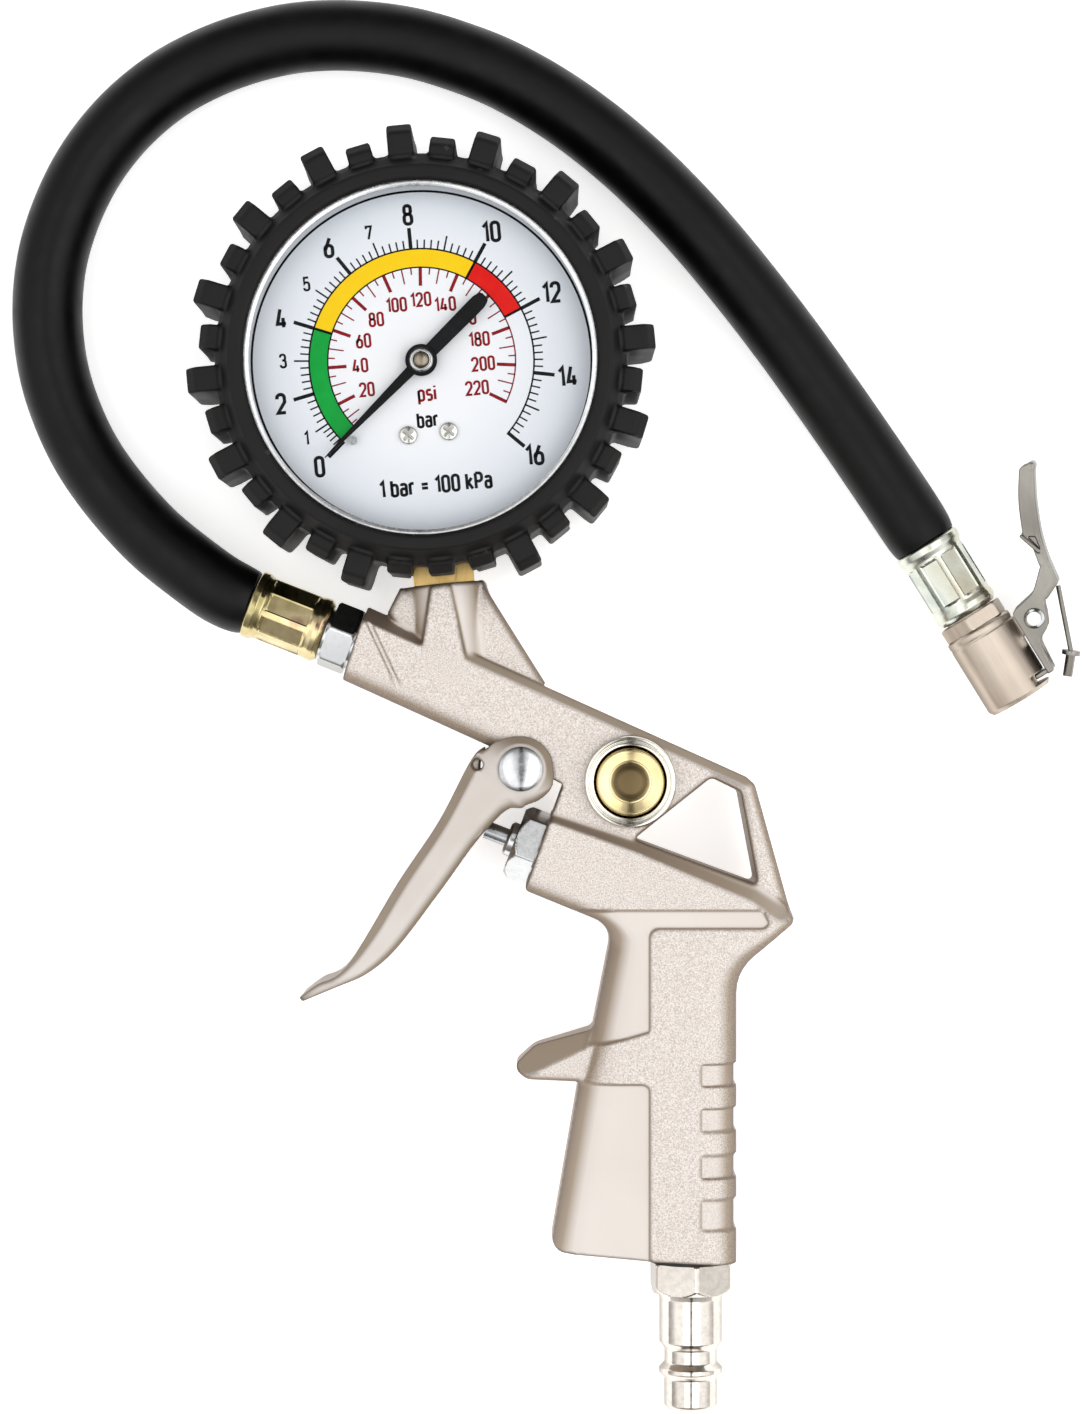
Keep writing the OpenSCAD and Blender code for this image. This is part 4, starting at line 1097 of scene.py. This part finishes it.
def turned(name, profile, place, reach=None, sides=96):
    """An outline of (radius, height) points spun about Z.

    reach gives how far out a point may be at a height and an angle in degrees, for flats."""
    count = len(profile)
    points, faces = [], []
    for j in range(sides):
        angle = 360 * j / sides
        c, s = math.cos(math.radians(angle)), math.sin(math.radians(angle))
        for radius, height in profile:
            far = min(radius, reach(height, angle)) if reach else radius
            points.append((far * c, far * s, height))
        k = (j + 1) % sides
        for i in range(count):
            n = (i + 1) % count
            faces.append([j * count + i, k * count + i, k * count + n, j * count + n])
    mesh = new_mesh(name, points, faces)
    shape = bmesh.new()
    shape.from_mesh(mesh)
    bmesh.ops.remove_doubles(shape, verts=shape.verts, dist=1e-4)
    bmesh.ops.recalc_face_normals(shape, faces=shape.faces)
    shape.to_mesh(mesh)
    shape.free()
    mesh.transform(place)
    mesh.shade_smooth()
    mesh.set_sharp_from_angle(angle=SHARP_ANGLE)
    return link(name, mesh)


def on_axis(point, angle, height=0.0):
    """A frame whose Z runs along an axis in the plane, at a height over the middle plane."""
    place = TOOL @ Matrix.Translation((*point, height))
    return place @ Matrix.Rotation(math.radians(angle), 4, "Z") @ Matrix.Rotation(math.pi / 2, 4, "Y")


def hexagon(span, flats, roll, chamfer):
    """A reach for turned(): a hexagon between two heights, with (radius, slope) cone chamfers.

    Outside the two heights it holds nothing back."""
    def reach(height, angle):
        if not span[0] - 0.001 <= height <= span[1] + 0.001:
            return math.inf
        flat = flats / 2 / math.cos(math.radians((angle - roll) % 60 - 30))
        cones = [radius + slope * room for (radius, slope), room in zip(
            chamfer, (height - span[0], span[1] - height)) if radius]
        return min([flat, flats / math.sqrt(3) - 0.1] + cones)
    return reach


CHUCK, CHUCK_ANGLE, CHUCK_DROP = (75.25, 41.86), -58.3, -4.0
CHUCK_PLACE = on_axis(CHUCK, CHUCK_ANGLE, CHUCK_DROP)
LEVER_ROLL = 12
LEVER_PLACE = CHUCK_PLACE @ Matrix.Rotation(math.radians(LEVER_ROLL), 4, "Z")
BLEED_PLACE = TOOL @ Matrix.Translation((*BLEED, -MID_Z))
# Past any hexagon: a flare's outline goes out to here, and its reach brings it in to the flats.
FLARE = 20
HOSE_NUT = [
    (2.5, -7), (4.85, -7), (4.85, 0.3), (FLARE, 0.3), (FLARE, 5.3), (4.6, 5.3), (4.6, 5.8), (2.5, 5.8)]
VALVE_NUT = [
    (1.72, -6.1), (2.7, -6.1, 0.2), (3.25, -5.6, 0.3), (3.25, -4.62), (FLARE, -4.62), (FLARE, -0.05),
    (4.95, -0.05), (4.95, 7), (3.1, 7), (3.1, 5.2), (1.72, 5.2)]
FITTING = [
    (2, 15.4), (4.6, 15.4), (4.6, 15.8), (FLARE, 15.8), (FLARE, 18.3), (3.9, 18.3), (3.9, 22.2), (2, 22.2)]
INLET = [
    (3.4, -10), (6.55, -10), (6.55, 0.6), (FLARE, 0.6), (FLARE, 6.2), (6.2, 6.2, 0.3),
    (5.85, 7.3, 0.8), (5.85, 15.3, 0.4), (4.9, 16.6, 0.8), (4.9, 19, 0.5), (5.95, 20.1, 0.4),
    (5.95, 20.9, 0.4), (4.96, 22, 0.6), (4.96, 27, 0.6), (4.3, 27.7, 0.3), (3.4, 27.7)]
PIN_HEAD = 4.1
BEZEL_RING = [
    (6.4, 14.5), (7, 14.5), (7, 19.5), (8.4, 19.5), (8.4, 20.7, 0.2), (8.2, 21.2, 0.2),
    (7.5, 21.25, 0.3), (7.3, 21.0, 0.1), (7.1, 21.1, 0.1), (6.7, 21.05, 0.2), (6.4, 20.2)]
BUTTON = [
    (0, 8.2), (2.9, 8.2), (2.9, 9.2), (2, 9.2), (2, 18.4), (6.25, 18.4), (6.25, 20.9, 0.3),
    (5.9, 21.4, 0.4), (5.4, 21.3, 0.6), (3.6, 20.75, 0.8), (3.3, 21.1, 0.3), (2.2, 21.7, 1.5), (0, 21.9)]
FERRULE_WIDE, FERRULE_WAIST = 6.4, 5.9
PANEL_FLAT = 5.45
PANEL_SPREAD = 16.5


def ferrule_profile(length):
    return [
        (2.6, 0), (5.7, 0, 0.2), (FERRULE_WIDE, 0.5, 0.3), (FERRULE_WIDE, 1.7, 0.6),
        (FERRULE_WAIST, 2.7, 1.0), (FERRULE_WAIST, length - 2.7, 1.0), (6.1, length - 1.9, 0.5),
        (6.1, length - 0.9, 0.5), (5.4, length, 0.3), (2.6, length)]


def crimped(length, roll):
    """A reach for turned(): eight flat panels pressed into a ferrule."""
    def reach(height, angle):
        away = (angle - roll + 22.5) % 45 - 22.5
        inside = min(height - 3.3, length - 3.3 - height)
        if inside < 0 or abs(away) > PANEL_SPREAD:
            return math.inf
        return PANEL_FLAT / math.cos(math.radians(away)) + max(0, 0.25 - inside)
    return reach


def make_ferrule(name, length, place, roll, material, slot):
    profile = dense(rounded_path(ferrule_profile(length)), 0.25)
    piece = turned(name + "_crimped", profile, place, crimped(length, roll), 180)
    return finish_piece(piece, material, slot, "gun", name)


def make_nut(name, profile, place, reach, material, slot):
    piece = turned(name + "_turned", dense(rounded_path(profile), 0.2), place, reach, 180)
    return finish_piece(piece, material, slot, "gun", name)


def make_nuts(chrome, bright):
    """The hose nut, the valve nut and the inlet plug."""
    make_nut("hose_nut", HOSE_NUT, on_axis(PORT, PORT_ANGLE),
             hexagon((0.3, 5.3), 11.5, 11, ((6.2, 1), (6.2, 1))), chrome, "chrome_bright")
    make_nut("valve_nut", VALVE_NUT, on_axis(VALVE, VALVE_ANGLE),
             hexagon((-4.62, -0.05), 12.5, 17, ((6.1, 0.9), (0, 0))), chrome, "chrome_bright")
    make_nut("inlet_plug", INLET, on_axis((PLUG_U, GRIP_END), -90),
             hexagon((0.6, 6.2), 14, -6, ((7.7, 1), (7.05, 0.9))), bright, "nickel_warm")


def dome(radius, base, rise, steps=10):
    """Profile points over a shallow dome, from its rim to its middle."""
    return [(radius * math.cos(math.pi / 2 * i / steps), base + rise * math.sin(math.pi / 2 * i / steps))
            for i in range(steps + 1)]


BEZEL = [
    (34.05, 24), (34.8, 24), (34.8, 28.6, 0.3), (34.1, 29.3, 0.3), (31.5, 29.3, 0.3), (30.95, 29.05, 0.1),
    (30.95, 28.7), (34.05, 28.7)]


def make_bezel(material):
    finish_piece(turned("bezel_ring", rounded_path(BEZEL), GAUGE, sides=192), material, "bezel_steel",
                 "gun", "gauge_bezel")


def make_turned(chrome, ring, gold, cap_brass):
    head = [(0, -10.3), (2, -10.3), (2, 10.85), (PIN_HEAD, 10.85)] + dome(PIN_HEAD, 11.0, 0.85)
    collar = [(1.4, 25.2), (2.2, 25.2), (2.2, 25.45, 0.1), (1.9, 25.7, 0.2), (1.55, 25.7, 0.1), (1.4, 25.5)]
    hub = [(0, 25.5), (1.38, 25.5)] + dome(1.38, 25.6, 0.5)
    for name, profile, place, material, slot, body, node in (
            ("trigger_pin_turned", head, TOOL, chrome, "chrome_bright", "gun", "trigger_pin"),
            ("bleed_ring_turned", BEZEL_RING, BLEED_PLACE, ring, "chrome_bright", "gun", "bleed_bezel"),
            ("bleed_button_turned", BUTTON, BLEED_PLACE, gold, "brass_polished", "bleed_button",
             "bleed_button"),
            ("pointer_collar", collar, GAUGE, chrome, "chrome_bright", "pointer", "pointer_cap"),
            ("pointer_hub", hub, GAUGE, cap_brass, "brass_polished", "pointer", "pointer_cap")):
        piece = turned(name, rounded_path(profile), place)
        finish_piece(piece, material, slot, body, node)


# --- Chuck, lever and springs ---

CHUCK_WALL = [
    (3.9, 18.3), (6.0, 18.3), (6.5, 18.8), (6.5, 33.3), (5.9, 34.1), (4.25, 34.1), (4.25, 26.95),
    (4.6, 26.95), (4.6, 23.6), (2.2, 23.6), (2.2, 22.25), (3.9, 22.25)]
EYE = (10.2, 22.3)
LUG_HALF_X = 1.6


def make_far_end():
    """The ferrule, fitting, chuck and lever at the hose's far end."""
    satin = metal("satin_nickel", (200, 186, 170), (216, 203, 189), (0.06, 1, 1),
                  -CHUCK_ANGLE, (0.4, 0.52), 1100, 0.008)
    fitting = make_nut("chuck_hose_fitting", FITTING, CHUCK_PLACE,
                       hexagon((15.8, 18.3), 11.5, 17, ((6.4, 0.6), (6.4, 0.6))), satin, "nickel_warm")
    ferrule = make_ferrule("chuck_ferrule", 15.4, CHUCK_PLACE, 22.5, zinc_clear(), "zinc_clear")
    lever = metal("pressed_lever_steel", (124, 121, 115), (158, 155, 148), (0.1, 0.1, 1),
                  -58, (0.24, 0.4), 1200, 0.02)
    dress(lever, "chuck_lever_wire")
    return [ferrule, fitting, make_chuck_body(satin), make_lever(lever)]


def make_chuck_body(material):
    """The clip chuck's barrel with its lever lug, in a frame whose Z is the barrel's axis."""
    block = Block((-6.8, -6.8, 18), (6.8, 12.4, 34.4), 0.15)
    x, y, z = block.x, block.y, block.z
    radius = np.hypot(x, y)
    barrel = outline_distance(CHUCK_WALL, radius, z)
    barrel = np.maximum(barrel, 0.3 - np.hypot(radius - 6.65, z - 20.0))
    side = abs(x) - LUG_HALF_X
    from_eye = np.hypot(y - EYE[0], z - EYE[1])
    lug = corner(side, np.maximum(abs(z - EYE[1]) - 2, y - EYE[0]), 0.3)
    lug = np.minimum(lug, corner(side, from_eye - 2, 0.3))
    solid = join(barrel, np.maximum(lug, np.maximum(5.2 - radius, -y)), 0.5)
    slit = np.maximum(3.9 - y, abs(z - 32.25) - 0.95)
    solid = np.maximum(cut(solid, slit, 0.25), 1.0 - from_eye)
    piece = block.surface("chuck_barrel", solid, LEVER_PLACE)
    return finish_piece(piece, material, "nickel_warm", "gun", "chuck_body")


def make_spring(name, place, shape, ends, node, material):
    """A coil spring that closes up between the gun and the body that it pushes.

    shape is (coil radius, wire radius, turns), and ends is (height on the gun, height on the body)."""
    radius, wire, turns = shape
    steps = int(turns * 24)
    rise = (max(ends) - min(ends) - 2 * wire) / steps
    path = [Vector((*polar(radius, 15 * step), min(ends) + wire + rise * step)) for step in range(steps + 1)]
    piece = tube(name, path, [wire] * len(path), 12)
    piece.data.transform(place)
    piece.data.materials.append(material)
    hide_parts(node)
    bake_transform(piece)


def make_springs(material):
    make_spring("valve_spring_coil", on_axis(VALVE, VALVE_ANGLE), (3.2, 0.45, 6),
                (31.4, 17.6), "valve_spring", material)
    make_spring("bleed_spring_coil", BLEED_PLACE, (3.6, 0.3, 2.5),
                (13.4, 18.0), "bleed_spring", material)


# The lever's outlines, as (along the chuck's axis, out from it, corner radius).
LEVER_HALF, LEVER_SHEET = 4.2, 0.9
THUMB_WEB = [
    (-2.3, 25.2, 0.4), (3.6, 21.9, 30), (9.6, 19.3, 30), (14.4, 18.1, 25), (18.9, 17.5, 0.8),
    (20.6, 13.9, 0.4), (19.4, 13.4, 0.3), (18, 16.3, 0.8), (14.1, 16.9, 25), (9.2, 18.1, 30),
    (3, 20.8, 30), (-2.7, 24.4, 0.3)]
THUMB_FLANK = [
    (-2.5, 24.6, 0.3), (3.1, 21, 30), (9.3, 18.4, 12), (15.2, 17, 0.4), (14.6, 16, 0.6), (10.2, 16.9, 1.2),
    (8.3, 16.3, 0.5), (2.4, 18.8, 30), (-2.9, 22.3, 1.1)]
CHEEK_FLANK = [
    (13.6, 17.2, 0.8), (18.2, 12.4, 4), (19.3, 7.1, 1.2), (32.4, 7.1, 0.3), (32.4, 8.3, 0.3),
    (26.4, 8.8, 2), (24.9, 11.6, 1.5), (22.6, 12.6), (20.7, 13.2, 1.5), (18.9, 17.4, 0.4), (14.4, 18, 0.4)]
FINGER = [(7.5, 16.2, 0.3), (8.1, 15.7, 0.3), (12.6, 17.1, 0.3), (12.2, 17.8, 0.3)]
FINGER_GAP = [(8.8, 17.0, 0.1), (9.5, 18.2, 0.2), (12.2, 17.8, 0.1)]
SHOE = [(26, 7.1), (32.4, 7.1), (32.4, 8.1), (26, 8.1)]
HEEL = [(31.5, 4.5), (32.4, 4.5), (32.4, 8), (31.5, 8)]


def make_lever(material):
    """The pressed steel lever: a curved thumb strip between two bent flanks."""
    block = Block((-4.6, 4.4, -3), (4.6, 25.4, 32.5), 0.15)
    x, y, z = block.x, block.y, block.z
    side = abs(x)

    def sheet(outline, low, high, edge):
        flat = outline_distance(rounded_path(outline), z, y)
        return corner(flat, np.maximum(low - side, side - high), edge)

    inner = LEVER_HALF - LEVER_SHEET
    solid = sheet(THUMB_WEB, -1, LEVER_HALF, 0.5)
    for outline in (THUMB_FLANK, CHEEK_FLANK):
        solid = join(solid, sheet(outline, inner, LEVER_HALF, 0.22), 0.25)
    solid = cut(solid, sheet(FINGER_GAP, inner + 0.2, LEVER_HALF + 1, 0.05), 0.15)
    solid = join(solid, sheet(FINGER, inner, LEVER_HALF + 0.3, 0.25), 0.15)
    solid = join(solid, sheet(SHOE, -1, LEVER_HALF, 0.2), 0.3)
    solid = join(solid, sheet(HEEL, -1, 2.6, 0.2), 0.3)
    hem = corner(np.hypot(z + 1.9, y - 24.25) - 0.8, side - LEVER_HALF, 0.3)
    solid = join(solid, hem, 0.3)
    hole = 1.1 - np.hypot(y - EYE[0], z - EYE[1])
    piece = block.surface("chuck_lever_pressed", np.maximum(solid, hole), LEVER_PLACE)
    return finish_piece(piece, material, "lever_steel", "chuck_lever", "chuck_lever")


# --- Placing ---

BEVEL = 0.12 * MM
BEVEL_ANGLE = math.radians(32)
WELD = 0.002 * MM


def dress(material, *nodes, bevel=True):
    """Gives carried-over nodes a material, and softens their sharp edges."""
    for name in nodes:
        node = frame["nodes"][name]
        node.data.materials.clear()
        node.data.materials.append(material)
        if bevel:
            weld = node.modifiers.new("weld", "WELD")
            weld.merge_threshold = WELD
            soften = node.modifiers.new("soften", "BEVEL")
            soften.width = BEVEL
            soften.segments = 2
            soften.limit_method = "ANGLE"
            soften.angle_limit = BEVEL_ANGLE
            soften.use_clamp_overlap = True


def dress_nodes():
    brass = metal("plain_brass", (196, 158, 92), (220, 186, 118), rough=(0.26, 0.42))
    dress(brass, "bourdon_tube", "bourdon_tip", "movement_lower_plate", "movement_upper_plate",
          "movement_pillars", "sector_gear", "movement_link", "hairspring", "valve_seat",
          "bleed_plug", "chuck_depressor", bevel=False)
    socket = metal("brushed_brass", (206, 170, 98), (232, 200, 138), (1, 0.08, 1),
                   GAUGE_TILT, (0.24, 0.42), 1400, 0.02)
    dress(socket, "gauge_socket")
    chrome = metal("bright_chrome", (196, 198, 200), (218, 219, 220), rough=(0.1, 0.2), depth=0.004)
    dress(chrome, "chuck_lever_pin")
    cup = metal("pewter_cap", (122, 112, 96), (150, 140, 124), rough=(0.2, 0.34))
    ring = metal("bright_ring_nickel", (232, 228, 216), (248, 245, 236), rough=(0.05, 0.12),
                 depth=0.002, sides=205)
    make_turned(chrome, ring, button_brass(), cup)
    make_screw_heads(metal("screw_nickel", (196, 196, 190), (236, 236, 230), rough=(0.12, 0.24)))
    make_needle(ink("pointer_enamel", (5, 5, 6), (12, 12, 14)))
    make_bezel(metal("polished_bezel_steel", (226, 229, 232), (244, 246, 248), rough=(0.2, 0.3),
                     depth=0.002))
    case = metal("dark_case_steel", (84, 86, 90), (110, 112, 116), (1, 1, 0.1))
    dress(case, "gauge_case", bevel=False)
    steel = metal("small_steel", (150, 152, 154), (198, 200, 202), rough=(0.15, 0.3))
    dress(steel, "pinion_shaft", "chuck_lever_spring", "valve_stem", "pointer_stop_pin", bevel=False)
    make_springs(steel)
    nickel = metal("bright_nickel", (214, 206, 196), (232, 226, 218), rough=(0.07, 0.16), depth=0.004)
    make_nuts(chrome, nickel)
    flip = Matrix.Rotation(math.pi, 4, "X")
    gun_end = on_axis(PORT, PORT_ANGLE) @ Matrix.Translation((0, 0, 20.8)) @ flip
    make_ferrule("gun_ferrule", 15, gun_end, 31, zinc_yellow(), "zinc_yellow")
    dress(seal_rubber(), "gauge_lens_gasket", "stem_oring", "valve_washer", "bleed_seal",
          "chuck_seal", "inlet_washer", bevel=False)
    dress(black_plastic(), "gauge_spacer_ring", bevel=False)
    dress(dial_white(), "gauge_dial", bevel=False)
    dress(lens_clear(), "gauge_lens", bevel=False)


def make_floor():
    half = FLOOR_SIZE / 2
    corners = [(-half, -half, 0), (half, -half, 0), (half, half, 0), (-half, half, 0)]
    mesh = new_mesh("floor", corners, [[0, 1, 2, 3]])
    mesh.materials.append(floor_white())
    floor = link("floor", mesh)


bpy.context.scene.view_settings.view_transform = "Standard"
make_camera()
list(make_hose())
make_far_end()
make_floor()
make_lights()
finish_piece(make_gun_body(), body_paint(), "body_paint", "gun", "gun_body")
finish_piece(make_trigger(), trigger_paint(), "trigger_paint", "trigger", "trigger")
finish_piece(make_boot(), boot_rubber(), "boot_rubber", "gun", "gauge_boot")
print_bands()
print_black()
print_crimson()
dress_nodes()
